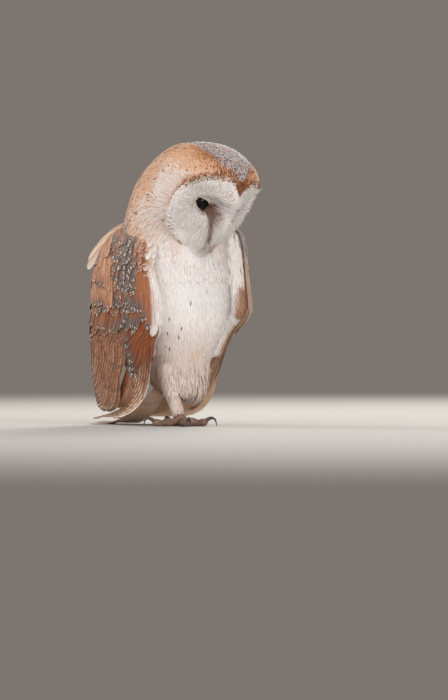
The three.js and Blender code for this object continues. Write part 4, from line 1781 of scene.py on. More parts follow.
@dataclass
class Body:
    """The owl's one skin, and the coat of small feathers that grows on it.

    Attributes:
        standing_leg: Rows of x, f, z and radius down the leg that stands.
        drawn_leg: The same for the one that is drawn up.
        depth: How far the skin lies inside the feathers.
        coarse: Edge of the cubes that the body without its wings is melted in.
        fine: The same for the whole skin.
        relaxing: How many times the melted skin is relaxed.
    """

    standing_leg: tuple = (
        (-16.5, 9, 52, 12), (-16, 12.5, 38, 9), (-16, 15.5, 25, 7), (-15.5, 19.5, 14, 6.3), (-15.5, 22.5, 7, 5.4),
    )
    drawn_leg: tuple = ((10, 2, 47, 6.5), (9.5, 9, 44, 5.6), (9, 15, 41, 5))
    depth: float = 2.2
    coarse: float = 1.6
    fine: float = 1.35
    relaxing: int = 3

    def __post_init__(self) -> None:
        """Melts trunk, neck, skull, dish and legs into the skin, and spreads it over its field."""
        levels = np.linspace(0, 1, 90)[:, None]
        way = circle(110)[None]
        white = Tint.WHITE.light
        shapes = [
            closed_loft(TORSO.surface(levels, way, -self.depth), white),
            closed_loft(skull_surface(-self.depth), white),
            closed_loft(dish_surface(1.2), white),
            closed_loft(tube(self.standing_leg, -1.4), white),
            closed_loft(tube(self.drawn_leg, -1.2), white),
        ]
        self.hide = Hide(*remeshed(shapes, self.coarse, self.relaxing))
        shapes += [wing.flesh() for wing in WINGS]
        self.points, normals, self.quads = remeshed(shapes, self.fine, self.relaxing)
        self.whole = Hide(self.points, normals, self.quads)
        self.open_sockets()

    def open_sockets(self) -> None:
        """Sinks the skin behind the eyeballs: within 9 mm of the way an eye looks it stays behind the eye's middle."""
        for side in (-1, 1):
            middle, look, _, _ = Face().eye_axes(side)
            off = self.points - middle
            along = off @ look
            aside = np.linalg.norm(off - along[:, None] * look, axis=1)
            limit = -1.0 + 24 * ease(9.2, 11.4, aside)
            back = np.where((along > -4) & (aside < 12), np.minimum(along, limit) - along, 0)
            self.points = self.points + back[:, None] * look

    def skin(self, material: bpy.types.Material) -> bpy.types.Object:
        """The skin as a piece, in the same markings as its feathers and darkened by a tenth as painted shade between
        them.

        Args:
            material: The finish.

        Returns:
            The piece.
        """
        loops = self.quads.ravel()
        # Painted shade: the skin is a tenth darker than the feathers, for the gaps between them.
        colours = MARKINGS.ground(self.points) * 0.9
        behind = ease(-30, -44, -self.points[:, 1])
        flesh = self.hide.read(self.points)[0] > 1.5
        colours[flesh] = blend(Tint.PINK.light * 0.8, Tint.ORANGE.light * 0.7, behind[flesh])
        colours = colours[loops]
        x, _, u = HEAD.places(self.points)
        beside = np.clip(MARKINGS.smudge(x, u), 0, 0.9) * in_dish(self.points)
        colours = blend(colours, Tint.RUFOUS.light * 0.4, beside[loops])
        socket = in_dish(self.points) & (np.hypot(np.abs(x) - DISC.eye_x, u - DISC.eye_u) < 5.0)
        colours[socket[loops]] = Tint.BROWN.light * 0.5
        shape = Shape(
            points=self.points,
            loops=loops,
            sides=np.full(len(self.quads), 4),
            colours=colours,
            patch=round_map(self.points)[loops],
            vane=np.zeros((len(loops), 3)),
        )
        nodes = ("head", "facial_disc", "neck", "trunk", "leg_right", "leg_left")
        return piece("body_skin", shape, material, nodes)

    def coat(self, material: bpy.types.Material) -> None:
        """Grows every tract of small feathers.

        Args:
            material: The finish.
        """
        small = Tuft(length=5.2, half_width=0.95, rise=1.5, spread=0.10, crown=0.2, soft=0.7)
        neck = Tuft(length=11.0, half_width=1.25, rise=1.4, spread=0.08, crown=0.12, soft=0.8, pointed=0.45)
        breast = Tuft(length=12.5, half_width=1.25, rise=0.85, spread=0.05, crown=0.08, soft=0.93, pointed=0.6)
        fluff = Tuft(length=13.0, half_width=1.1, rise=3.2, spread=0.2, crown=0.1, soft=0.7, pointed=0.8)
        short = Tuft(length=4.6, half_width=0.8, rise=1.2, root=0.0, spread=0.15, soft=0.6, pointed=0.5)
        tracts = (
            Tract("crown_feathers_right", small, 1.55, crown_right, 11, "crown_feathers"),
            Tract("crown_feathers_left", small, 1.55, crown_left, 12, "crown_feathers"),
            Tract("neck_feathers", neck, 1.95, on_neck, 13, "crown_feathers"),
            Tract("breast_feathers", breast, 2.0, on_breast, 14, "body_feathers"),
            Tract("belly_fluff", fluff, 1.7, on_belly, 15, "body_feathers", long_where=over_fist),
            Tract("leg_feathers", short, 1.15, on_shank, 16, "body_feathers"),
        )
        for tract in tracts:
            tract.build(self.hide, material)
        lining = Tuft(length=8.5, half_width=1.5, rise=1.1, spread=0.06, crown=0.12, soft=0.75, pointed=0.2)
        Tract("wing_lining", lining, 2.5, self.in_lining, 17, "body_feathers", lining=True).build(self.whole, material)

    def in_lining(self, points: Array) -> Array:
        """Whether points are on a wing and face the body's middle or ahead.

        Args:
            points: Points on the whole skin.

        Returns:
            True or false for each.
        """
        way = self.whole.read(points)[1]
        inward = np.maximum(-way[:, 0] * np.sign(points[:, 0]), -way[:, 1] - 0.5)
        return (self.hide.read(points)[0] > 1.2) & (inward > -0.35)


# ---------------------------------------------------------------- the face


@dataclass(frozen=True)
class Face:
    """The facial disc's hair-like feathers, its ruff of stiff short ones, the eyes with their lids, and the bill.

    Attributes:
        hair_length: Length of a hair-like feather.
        hair_half: Half its width.
        opening_long: Half the longer way across the opening of the lids.
        opening_short: Half the shorter way across.
        opening_tilt: How far the longer way is tilted from level.
    """

    hair_length: float = 8.5
    hair_half: float = 0.36
    opening_long: float = 7.7
    opening_short: float = 5.1
    opening_tilt: float = np.radians(-24)

    def over_dish(self, x: Array, u: Array, height: Array | float) -> tuple[Array, Array]:
        """Points over the dish at a height, and the way out there from the face's slopes.

        Args:
            x: Places across the face.
            u: Places up the face.
            height: The height over the dish.

        Returns:
            The points, and the way out at each.
        """
        step = 0.5
        slope_x = (DISC.surface(x + step, u) - DISC.surface(x - step, u)) / (2 * step)
        slope_u = (DISC.surface(x, u + step) - DISC.surface(x, u - step)) / (2 * step)
        way = unit(HEAD.direction(-slope_x, np.ones_like(slope_x), -slope_u))
        base = HEAD.point(x, DISC.surface(x, u) - 1.0, u)
        return base + way * np.asarray(height)[..., None], way

    def hairs(self, side: int, seed: int) -> Shape:
        """One side's hair-like feathers, which spread from the eye over the dish, and down the ridge over the bill.

        Each is a strand that starts in the plane of the face, runs straight out from the eye (at the ridge, turned
        towards the bill) and lifts slightly to its tip.

        Args:
            side: -1 for the right, 1 for the left.
            seed: Picks the roots.

        Returns:
            The strands.
        """
        dice = np.random.default_rng(seed)
        pitch = 0.98
        across_count, up_count = int(56 / pitch), int(100 / pitch)
        grid = np.stack(np.meshgrid(np.arange(across_count), np.arange(up_count)), -1).reshape(-1, 2) * pitch
        place = grid + pitch * (dice.random(grid.shape) - 0.5) * 1.1
        x, u = side * (place[:, 0] - 1.0), place[:, 1] - 52
        eye = np.array([side * DISC.eye_x, DISC.eye_u])
        off = np.stack([x, u], -1) - eye
        far = np.hypot(*off.T)
        bill = (np.abs(x) < 1.6) & (u < -31)
        inward, up = -side * off[:, 0], off[:, 1]
        cos, sin = np.cos(self.opening_tilt), np.sin(self.opening_tilt)
        almond = np.hypot((inward * cos + up * sin) / self.opening_long, (up * cos - inward * sin) / self.opening_short)
        over_eyes = 0.045 * ease(1.3, 1.0, np.abs(np.arctan2(x, u - DISC.centre_u)))
        kept = (DISC.share(x, u) < 0.93 - over_eyes) & (almond > 1.09) & ~bill
        x, u, off, far, over_eyes = x[kept], u[kept], off[kept], far[kept], over_eyes[kept]
        make = Tuft(self.hair_length, self.hair_half, stations=4, crown=0.3, soft=0.55, pointed=1.0)
        radial = off / far[:, None]
        ridge = 0.9 * hump(x, 0, 8.0)[:, None]
        along_ridge = np.stack([-0.35 * side + 0 * x, 2 * ease(2, 18, u) - 1], -1)
        heading = radial * (1 - ridge) + along_ridge * ridge
        heading += 0.07 * dice.normal(size=heading.shape)
        heading /= np.hypot(*heading.T)[:, None]
        reach = self.hair_length * (0.42 + 0.58 * ease(7, 22, far)) * (0.75 + 0.5 * dice.random(len(x)))
        fringe = 0.22 * dice.random(len(x)) ** 1.5 * ease(26, 15, u) * ease(24, 34, x)
        room = (0.965 - over_eyes + fringe - DISC.share(x, u)) * DISC.radius(np.arctan2(x, u - DISC.centre_u)) * 1.15
        reach = np.minimum(reach * (1 + 3 * fringe), np.maximum(room, 2.2))
        for _ in range(3):
            end = np.stack([x, u], -1) + heading * reach[:, None]
            reach = np.where(DISC.share(*end.T) > 0.975 - over_eyes + fringe, reach * 0.7, reach)
        t = make.places
        line = np.stack([x, u], -1)[:, None] + heading[:, None] * (reach[:, None] * t)[..., None]
        flank = 1.6 * hump(np.abs(x), 6.5, 5.0) * hump(u, 8, 20) + (1.4 + side) * hump(x, 1.5, 5.0) * hump(u, 0, 18)
        flank = flank + 20 * fringe
        lift = 0.15 + (0.75 + 0.75 * dice.random(len(x)) + flank)[:, None] * t**1.4
        path, ways = self.over_dish(line[..., 0], line[..., 1], lift)
        colours = self.hair_colours(x, u, far, make.stations, dice)
        patch = np.stack([0.5 + x / 120, 0.5 + u / 120], -1)
        half = self.hair_half * (0.8 + 0.5 * dice.random(len(x))) * (0.7 + 0.3 * ease(6, 14, far))
        return tufts(make, path, ways, half, colours, patch, seed)

    def hair_colours(self, x: Array, u: Array, far: Array, stations: int, dice: np.random.Generator) -> Array:
        """White hairs, greyed at the root as painted shade under the hairs, rufous ones from the eye's inner corner
        down beside the bill.

        Args:
            x: Roots across the face.
            u: Roots up the face.
            far: Their distance from the eye.
            stations: Cross-sections along a hair.
            dice: The random generator.

        Returns:
            Colours of shape (hairs, stations, 3).
        """
        t = stations_at(stations)
        tone = 0.96 + 0.12 * dice.random(len(x))
        white = Tint.WHITE.light * tone[:, None]
        # Painted shade: each hair is grey at its root, where the others lie over it.
        grey = np.array([0.66, 0.59, 0.56])
        colours = white[:, None] * (grey + (1 - grey) * ease(0, 0.75, t)[:, None])[None]
        out = np.abs(x)
        amount = np.clip(MARKINGS.smudge(x, u) * (0.75 + 0.5 * dice.random(len(x))), 0, 0.97)
        brown = blend(Tint.RUFOUS.light * 0.5, Tint.BROWN.light * 0.35, hump(u, 1, 6) * hump(out, 12.5, 2.5))
        brown = blend(brown, Tint.RUFOUS.light, 0.5 * ease(11.5, 9, out) * ease(-10, -3, u))
        colours = blend(colours, brown[:, None], amount[:, None] * (1 - 0.25 * t)[None])
        upward = np.degrees(np.arctan2(u - DISC.eye_u, DISC.eye_x - out))
        arc = hump(far, 10.6, 0.9) * hump(upward, 52, 34)
        colours = blend(colours, Tint.SLATE.light * 0.5, 0.7 * arc[:, None] * np.ones_like(t))
        ring = np.exp(-(((far - 6.8) / 1.1) ** 2)) * 0.3
        colours = blend(colours, Tint.BUFF.light * 0.8, ring[:, None] * (1 - t)[None])
        return colours

    def ruff(self, seed: int) -> Shape:
        """Rows of short stiff feathers round the rim of the dish.

        A feather of a row starts on the rim at its share of the outline and points outwards, turned back over the
        edge by the row's tip. Above the eyes the rows are orange-brown with black and cream; down the sides they
        thin to a line of orange dashes; the rest is white.

        Args:
            seed: For the random parts.

        Returns:
            The feathers.
        """
        dice = np.random.default_rng(seed)
        make = Tuft(5.5, 1.0, stations=5, crown=0.25, soft=0.5)
        rows = (
            # Share of the outline, count, length, half width, height at the tip, degrees that it turns back.
            (0.858, 140, 3.8, 1.15, 1.1, 0),
            (0.896, 140, 3.8, 1.20, 1.7, 5),
            (0.934, 140, 3.8, 1.25, 2.3, 12),
            (0.968, 150, 3.7, 1.25, 2.3, 28),
            (0.992, 160, 3.8, 1.25, 1.3, 55),
            (1.012, 220, 5.0, 1.05, -1.6, 80),
        )
        shapes = []
        for number, (share, count, length, half, lift, turn) in enumerate(rows):
            angle = (np.arange(count) + dice.random(count) * 0.7) / count * 2 * np.pi - np.pi
            angle = np.concatenate([angle, 0.17 * (2 * dice.random(16) - 1)])
            t = make.places
            run = length * t * (0.8 + 0.4 * dice.random(len(angle)))[:, None]
            back = np.radians(turn)
            reach = DISC.radius(angle)[:, None] * share + run * np.cos(back)
            lean = angle[:, None] + 0.04 * dice.normal(size=len(angle))[:, None] * t
            x, u = reach * np.sin(lean), DISC.centre_u + reach * np.cos(lean)
            inward = np.minimum(1.0, DISC.radius(angle)[:, None] / reach)
            held_u = DISC.centre_u + (u - DISC.centre_u) * inward
            base = DISC.surface(x * inward, held_u)
            flat = (0.45 + 0.55 * ease(95, 70, np.degrees(np.abs(angle))))[:, None]
            f = base - 0.6 + lift * flat * t**0.8 - run * np.sin(back)
            path = HEAD.point(x, f, u)
            outward = HEAD.direction(np.sin(angle), 0 * angle, np.cos(angle))[:, None]
            ahead = HEAD.direction(0.0, 1.0, 0.0)
            ways = unit(ahead * np.cos(back) + outward * (0.25 + np.sin(back)))
            colours = self.ruff_colours(angle, number, t, dice)
            patch = np.stack([0.5 + x[:, 0] / 120, 0.5 + u[:, 0] / 120], -1)
            sizes = half * (0.85 + 0.3 * dice.random(len(angle))) * (0.62 if turn > 70 else 1.0)
            shapes.append(tufts(make, path, np.broadcast_to(ways, path.shape), sizes, colours, patch, seed + number))
        return join(shapes)

    def ruff_colours(self, angle: Array, row: int, t: Array, dice: np.random.Generator) -> Array:
        """Colours of one row of the ruff.

        Args:
            angle: Way round the disc from straight up.
            row: Which row, from the inside.
            t: Stations along a feather.
            dice: The random generator.

        Returns:
            Colours of shape (feathers, stations, 3).
        """
        turn = np.degrees(np.abs(angle))
        count = len(angle)
        white = Tint.WHITE.light * (0.92 + 0.12 * dice.random(count))[:, None]
        # Painted shade: each feather is darker towards its root, under the next row.
        colours = np.repeat(white[:, None], len(t), 1) * (0.88 + 0.14 * t)[None, :, None]
        flank = hump(turn, 118, 26)
        draw = dice.random(count)
        top = ease(72, 58, turn)
        tip = (t > 0.7)[None]
        if row < 3:
            cream = blend(Tint.CREAM.light, Tint.ORANGE.light, 0.25 * row * draw)
            colours = blend(colours, cream[:, None], top[:, None] * (t > 0.3)[None])
            fleck = (draw < (0.75, 0.9, 0.8)[row] * top + (0.75, 0.6, 0.0)[row] * flank * (angle < 0)).astype(float)
            dark = blend(Tint.DARK.light * 0.7, Tint.BROWN.light, np.maximum(flank, 0.4 * (row == 2)))
            shown = np.where(turn[:, None] < 85, tip, (t > 0.3)[None])
            colours = blend(colours, dark[:, None], (0.9 - 0.4 * flank * (turn > 85))[:, None] * fleck[:, None] * shown)
        elif row < 5:
            dash = (np.sin(turn * 1.3) > -0.1) * ease(96, 116, turn) * ease(174, 164, turn) * (row == 3)
            line = np.maximum(ease(104, 88, turn) * (0.8 + 0.2 * top) * (1 - 0.4 * (row == 4) * (1 - top)), dash)
            tint = blend(Tint.ORANGE.light, Tint.RUFOUS.light, 0.2 + 0.4 * top * draw + 0.5 * ease(116, 140, turn))
            colours = blend(colours, tint[:, None], 0.95 * line[:, None] * ease(0.1, 0.4, t)[None])
            colours = blend(colours, Tint.BROWN.light, 0.75 * (top * (draw < 0.8))[:, None] * tip)
        else:
            tint = blend(Tint.BUFF.light, Tint.ORANGE.light, top)
            amount = ease(80, 45, turn) * (0.6 + 0.4 * draw)
            colours = blend(colours, Tint.PINK.light * 0.92, 0.75)
            colours = blend(colours, tint[:, None], amount[:, None] * np.ones_like(t)[None])
        notch = ease(11, 8, turn)[:, None] * ease(0.0, 0.3, t + 0.4 * (row > 0))
        return blend(colours, Tint.RUFOUS.light * (0.55 + 0.45 * draw[:, None, None]), 0.95 * notch)

    def eye_axes(self, side: int) -> tuple[Array, Array, Array, Array]:
        """The eye's middle, the way it looks, and the long and the short way of its opening.

        Args:
            side: -1 for the right, 1 for the left.

        Returns:
            The middle and the three directions.
        """
        middle = HEAD.point(side * DISC.eye_x, DISC.eye_f, DISC.eye_u)
        look = unit(HEAD.direction(side * 0.16, 0.98, -0.02))
        inward = unit(np.cross(HEAD.direction(0.0, 0.0, 1.0), look)) * side
        inward = inward * np.sign(np.sum(inward * HEAD.direction(-side * 1.0, 0.0, 0.0)))
        crown = unit(HEAD.direction(0.0, 0.0, 1.0) - look * np.sum(look * HEAD.direction(0.0, 0.0, 1.0)))
        tilt = self.opening_tilt
        long_way = inward * np.cos(tilt) + crown * np.sin(tilt)
        short_way = crown * np.cos(tilt) - inward * np.sin(tilt)
        return middle, look, long_way, short_way

    def eyeball(self, side: int) -> Shape:
        """A ball with a clear cornea that bulges: its radius grows by a bell round the way it looks.

        Args:
            side: -1 for the right, 1 for the left.

        Returns:
            The closed ball.
        """
        middle, look, long_way, short_way = self.eye_axes(side)
        tilt = np.linspace(0.02, np.pi - 0.02, 40)[:, None]
        way = circle(64)[None]
        radius = DISC.eye_radius + 0.75 * np.exp(-((tilt / 0.75) ** 2))
        ring = np.cos(way)[..., None] * long_way + np.sin(way)[..., None] * short_way
        grid = middle + radius[..., None] * (np.cos(tilt)[..., None] * look + np.sin(tilt)[..., None] * ring)
        return closed_loft(grid, Tint.DARK.light)

    def lids(self, side: int) -> Shape:
        """The lids: a thin rounded rim round an almond opening, which spreads out over the eyeball into the dish.

        The opening is the curve |a|^p + |b|^p = 1 on the eyeball. From it the lid's section goes out from the ball,
        round the rim and away over the ball to the socket's edge, and back underneath.

        Args:
            side: -1 for the right, 1 for the left.

        Returns:
            The closed ring.
        """
        middle, look, long_way, short_way = self.eye_axes(side)
        way = circle(72)
        power = 1.75
        cos, sin = np.cos(way), np.sin(way)
        lower = np.where(sin < 0, 1.0, 0.94)
        size = (np.abs(cos / self.opening_long) ** power + np.abs(sin / (self.opening_short * lower)) ** power)
        opening = size ** (-1 / power)
        inner = np.arcsin(np.clip(opening / DISC.eye_radius, 0, 0.98))
        section = (
            # Share of the way out to the socket's edge, and distance from the ball's middle.
            (-0.02, 7.9), (-0.03, 8.75), (0.0, 9.15), (0.06, 9.35), (0.14, 9.3), (0.26, 9.15), (0.45, 9.35),
            (0.7, 9.7), (1.0, 9.8), (1.0, 8.6), (0.5, 7.9), (0.2, 7.7),
        )
        rows = []
        outer = np.radians(78)
        ring = cos[:, None] * long_way + sin[:, None] * short_way
        x, _, u = HEAD.places(middle + 10.2 * ring)
        socket_edge = HEAD.point(x, DISC.surface(x, u) - 0.9, u)
        for share, radius in section:
            tilt = inner + (outer - inner) * share
            fold = 0.25 * hump(share, 0.3, 0.12) * (sin > 0)
            row = middle + (radius - fold)[:, None] * (np.cos(tilt)[:, None] * look + np.sin(tilt)[:, None] * ring)
            rows.append(blend(row, socket_edge - look * (1.2 * (radius < 9)), ease(0.26, 1.0, share) + 0 * sin))
        grid = np.stack(rows + rows[:1])
        loops = sheet_loops(len(rows) + 1, len(way), True)
        points = grid[:-1].reshape(-1, 3)
        loops = (loops % len(points)).ravel()
        sides = np.full(len(loops) // 4, 4)
        loops = facing_out(points, loops, sides)
        tone = np.repeat([0.2, 0.55, 0.9, 1.0, 0.7, 0.35, 0.2, 0.1, 0.0, 0.0, 0.0, 0.0], len(way))
        pale = blend(Tint.BROWN.light * 0.6, Tint.CREAM.light * 0.72, tone)
        pale = blend(pale, Tint.WHITE.light * 0.85, np.repeat([0, 0, 0, 0, 0.3, 0.8, 1, 1, 1, 1, 1, 1], len(way)))
        inner_corner = np.tile(ease(0.3, 0.85, 0.97 * cos - 0.25 * sin), len(rows))
        reddened = np.repeat([0, 0, 0, 0, 0, 0.1, 0.5, 0.9, 1, 1, 1, 1], len(way))
        corner = blend(Tint.DARK.light * 0.5, Tint.RUFOUS.light * 0.42, reddened)
        pale = blend(pale, corner, inner_corner * 0.95)
        place = np.stack(np.meshgrid(np.linspace(0, 1, len(way)), np.linspace(0, 1, len(rows))), -1).reshape(-1, 2)
        return Shape(points, loops, sides, pale[loops], place[loops], vane=np.zeros((len(loops), 3)))

    def bill(self) -> Shape:
        """The hooked bill: rounded sections down a culmen that arches forward and hooks back to the tip.

        Returns:
            The closed bill.
        """
        share = np.linspace(0, 1, 34)[:, None]
        way = circle(32)[None]
        u = -22.0 - 16.2 * share
        culmen = 40.4 + 3.6 * np.sin((0.08 + 0.62 * share) * np.pi) - 0.6 * share**4
        width = 3.0 * np.sqrt(np.maximum(1 - share**2.2, 0.004))
        back = culmen - 8.5 * (1 - 0.86 * share**1.5)
        f = (culmen + back) / 2 + (culmen - back) / 2 * signed_power(np.cos(way), 0.85)
        x = width * signed_power(np.sin(way), 0.95)
        return closed_loft(HEAD.point(x, f, u + 0 * way), Tint.CREAM.light)

    def build(self, down: bpy.types.Material, eye: bpy.types.Material, horn: bpy.types.Material) -> None:
        """Makes every piece of the face.

        Args:
            down: The small feathers' finish.
            eye: The eyes' finish.
            horn: The bill's finish.
        """
        for side, name in ((-1, "right"), (1, "left")):
            piece(f"face_feathers_{name}", self.hairs(side, 40 + side), down)
            piece(f"eyeball_{name}", self.eyeball(side), eye, (f"eye_{name}",))
            piece(f"eyelids_{name}", self.lids(side), down)
        piece("ruff_feathers", self.ruff(50), down)
        piece("hooked_bill", self.bill(), horn, ("bill",))


# ---------------------------------------------------------------- large feathers


@dataclass
class Sheet:
    """A curved surface that feathers lie on, known on a grid of places in millimetres.

    Attributes:
        grid: Points of shape (r places, p places, 3), evenly spaced in both.
        p: The places across, or from front to back.
        r: The places up, rising.
        outward: A rough way out that settles the sign of the real one, broadcast against the grid.
    """

    grid: Array
    p: Array
    r: Array
    outward: Array

    def __post_init__(self) -> None:
        """Works out the way out: the cross product of the grid's two directions."""
        way = unit(np.cross(np.gradient(self.grid, axis=1), np.gradient(self.grid, axis=0)))
        self.way = way * np.sign(np.sum(way * self.outward, -1, keepdims=True))

    def at(self, p: Array, r: Array) -> tuple[Array, Array]:
        """Points and ways out at places, carried on straight beyond the grid's edges.

        Args:
            p: Places across the sheet.
            r: Places up the sheet.

        Returns:
            The points, and the way out at each.
        """
        col = (p - self.p[0]) / (self.p[1] - self.p[0])
        row = (r - self.r[0]) / (self.r[1] - self.r[0])
        i = np.clip(np.floor(row).astype(int), 0, len(self.r) - 2)
        j = np.clip(np.floor(col).astype(int), 0, len(self.p) - 2)
        s, t = (row - i)[..., None], (col - j)[..., None]
        found = []
        for values, keep in ((self.grid, False), (self.way, True)):
            a, b = (np.clip(s, 0, 1), np.clip(t, 0, 1)) if keep else (s, t)
            low = values[i, j] * (1 - b) + values[i, j + 1] * b
            high = values[i + 1, j] * (1 - b) + values[i + 1, j + 1] * b
            found.append(low * (1 - a) + high * a)
        return found[0], unit(found[1])


@dataclass
class Plumes:
    """Feathers of one row or kind on a sheet; every field is one value for all or one for each feather.

    Attributes:
        root: Places of the roots, shape (feathers, 2).
        tip: Places of the tips, shape (feathers, 2).
        half: Half width.
        base: Colour of the vane.
        end: Colour at the tip.
        end_from: Share of the length where the tip's colour sets in.
        edge: Colour of the front edge.
        edge_share: How much of it shows.
        frost: Grey vermiculation at the tip.
        frost_from: Share of the length where it sets in.
        bars: Dark bars.
        pearl: The pearl near the tip.
        pepper: Brown peppering.
        low: Height of the root over the sheet.
        high: Height of the tip.
        roll: How much higher the front edge lies than the rear one.
        camber: Height of the arch across, as a share of the half width.
        bend: How far the middle bows sideways.
        under: Colour of the lower side.
        stations: Cross-sections.
        lanes: Points across; odd.
        deep: How much darker and redder the vane is than its tints.
    """

    root: Array
    tip: Array
    half: Any
    base: Any = (0.5, 0.3, 0.16)
    end: Any = None
    end_from: float = 0.6
    edge: Any = (0.8, 0.7, 0.6)
    edge_share: Any = 0.0
    frost: Any = 0.0
    frost_from: Any = 0.5
    bars: Any = 0.0
    pearl: Any = 0.0
    pepper: Any = 0.3
    low: float = -0.4
    high: Any = 1.2
    roll: float = 0.5
    camber: float = 0.08
    bend: Any = 0.0
    under: Any = (0.85, 0.60, 0.42)
    stations: int = 12
    lanes: int = 5
    deep: Any = 1.0

    def each(self, value: Any, wide: int = 1) -> Array:
        """One value for each feather, or wide numbers for each, shaped for (feathers, stations, lanes)."""
        shape = (len(self.root),) if wide == 1 else (len(self.root), wide)
        return np.broadcast_to(np.asarray(value, float), shape)[:, None, None]

    def upper_side(self, sheet: Sheet, t: Array, a: Array) -> tuple[Array, Array, Array, Array]:
        """The vanes' upper side.

        Along a feather (t from 0 to 1) its half width rises from the quill, holds, and closes in half an ellipse.
        Across it (a from -1 at the rear to 1 at the front) it arches by camber (1 - a^2).

        Args:
            sheet: What the feathers lie on.
            t: Places along a feather, shape (1, stations, 1).
            a: Places across it, shape (1, 1, lanes).

        Returns:
            The points and the sheet's way out there, the half widths, and the lengths.
        """
        start, end = np.asarray(self.root, float), np.asarray(self.tip, float)
        span = end - start
        length = np.maximum(np.hypot(*span.T), 1e-3)
        ahead = span / length[:, None]
        sideways = np.stack([-ahead[:, 1], ahead[:, 0]], -1) * np.sign(ahead[:, 1:])
        length = length[:, None, None]
        half = self.each(self.half)
        close = np.clip(1.25 * half / length, 0.08, 0.6)
        cap = np.clip((t - (1 - close)) / close, 0, 1)
        width = half * (0.22 + 0.78 * ease(0, 0.3, t)) * np.sqrt(np.maximum(1 - cap**2.3, 0.0025))
        bow = self.each(self.bend) * np.sin(np.pi * t)
        place = start[:, None, None] + ahead[:, None, None] * (length * t)[..., None]
        place = place + sideways[:, None, None] * (width * a + bow)[..., None]
        rise = self.each(self.low) + (self.each(self.high) - self.each(self.low)) * t**1.2
        arch = self.camber * width * (1 - a * a) + self.roll * a * (0.4 + 0.6 * t)
        point, way = sheet.at(place[..., 0], place[..., 1])
        return point + way * (rise + arch)[..., None], way, width, length

    def faces(self, rings: Array, out: Array) -> tuple[Array, Array, Array]:
        """The faces round every feather's sections and over its ends, turned outwards.

        Args:
            rings: The sections' points, shape (feathers, points, 3).
            out: The way out at each feather's root.

        Returns:
            The loops, the sides of each face, and for each corner whether it is on the lower side.
        """
        wide, steps = 2 * self.lanes - 2, self.stations - 1
        body = sheet_loops(self.stations, wide, True)
        fan = np.stack([np.full(wide - 2, 0), np.arange(1, wide - 1), np.arange(2, wide)], -1)
        one = np.concatenate([body.ravel(), fan[:, ::-1].ravel(), (fan + steps * wide).ravel()])
        sides = np.concatenate([np.full(len(body), 4), np.full(2 * len(fan), 3)])
        lower = np.tile(np.arange(wide) >= self.lanes - 1, steps)
        below = np.concatenate([np.repeat(lower, 4), np.ones(fan.size * 2, bool)])
        turned = turned_round(sides)
        flip = np.sum(np.cross(rings[:, 1] - rings[:, 0], rings[:, wide] - rings[:, 0]) * out, -1)[:, None] < 0
        loops = np.where(flip, one[turned], one) + (np.arange(len(rings)) * self.stations * wide)[:, None]
        under = np.where(flip, below[turned], below)
        return loops.ravel(), np.tile(sides, len(rings)), under.ravel()

    def colouring(self, t: Array, a: Array, own: Array) -> tuple[Array, Array]:
        """What the upper side carries.

        Args:
            t: Places along a feather.
            a: Places across it.
            own: A number of its own for each feather.

        Returns:
            Colours, and the four amounts of marks.
        """
        base = self.each(self.base, 3)
        tipped = base if self.end is None else self.each(self.end, 3)
        deep = 1 - self.each(self.deep)[..., None] * (1 - np.array([0.69, 0.48, 0.37]))
        colour = blend(base * deep, tipped * deep, ease(self.end_from, 0.97, t))
        rim = ease(0.45, 0.95, a) * self.each(self.edge_share) * ease(0.0, 0.2, t)
        colour = blend(colour, self.each(self.edge, 3), rim) * (0.93 + 0.14 * own)[..., None]
        frost = self.each(self.frost) * ease(0, 0.22, t - self.each(self.frost_from)) * (1 - 0.6 * rim)
        marks = (frost, *(self.each(value) + 0 * t for value in (self.bars, self.pearl, self.pepper)))
        return colour, np.stack(marks, -1)

    def shape(self, sheet: Sheet, cells: Sequence[float], seed: int) -> Shape:
        """Builds the feathers: the lower side is the upper one set down by the vane's thickness.

        Args:
            sheet: What they lie on.
            cells: The part of the flat map that they fill: low u, low v, high u, high v.
            seed: For each feather's number.

        Returns:
            The shape.
        """
        count = len(self.root)
        t = (1 - (1 - np.linspace(0, 1, self.stations)) ** 1.5)[None, :, None]
        a = np.linspace(-1, 1, self.lanes)[None, None]
        top, way, width, length = self.upper_side(sheet, t, a)
        thick = (0.12 + 0.35 * (1 - t) ** 2) * np.sqrt(np.maximum(1 - a * a, 0))
        rings = ringed(top, top - way * thick[..., None])
        normal = unit(np.cross(np.gradient(top, axis=2), np.gradient(top, axis=1)))
        normal *= np.sign(np.sum(normal * way, -1, keepdims=True))
        loops, sides, under = self.faces(rings.reshape(count, -1, 3), way[:, 0, 0])
        low_side = under[:, None]

        t, a = np.broadcast_arrays(t + 0 * width, a)
        own = np.random.default_rng(seed).random(count)[:, None, None]
        colour, marks = self.colouring(t, a, own)
        vane = np.stack(np.broadcast_arrays(width * a, (1 - t) * length, own), -1)
        pale = np.broadcast_to(self.each(self.under, 3), colour.shape)
        low, high = np.reshape(cells, (2, 2))
        row_length = int(np.ceil(np.sqrt(count)))
        size = (high - low) / row_length
        home = low + np.stack([np.arange(count) % row_length, np.arange(count) // row_length], -1) * size
        inner = np.stack([0.04 + 0.4 * (a + 1) / 2, 0.04 + 0.92 * t], -1)
        patch_top, patch_low = (home[:, None, None] + (inner + np.array([start, 0])) * size for start in (0, 0.5))

        def at_corners(values: Array) -> Array:
            """Values of the upper side, read at every corner."""
            return ringed(values, values).reshape(-1, values.shape[-1])[loops]

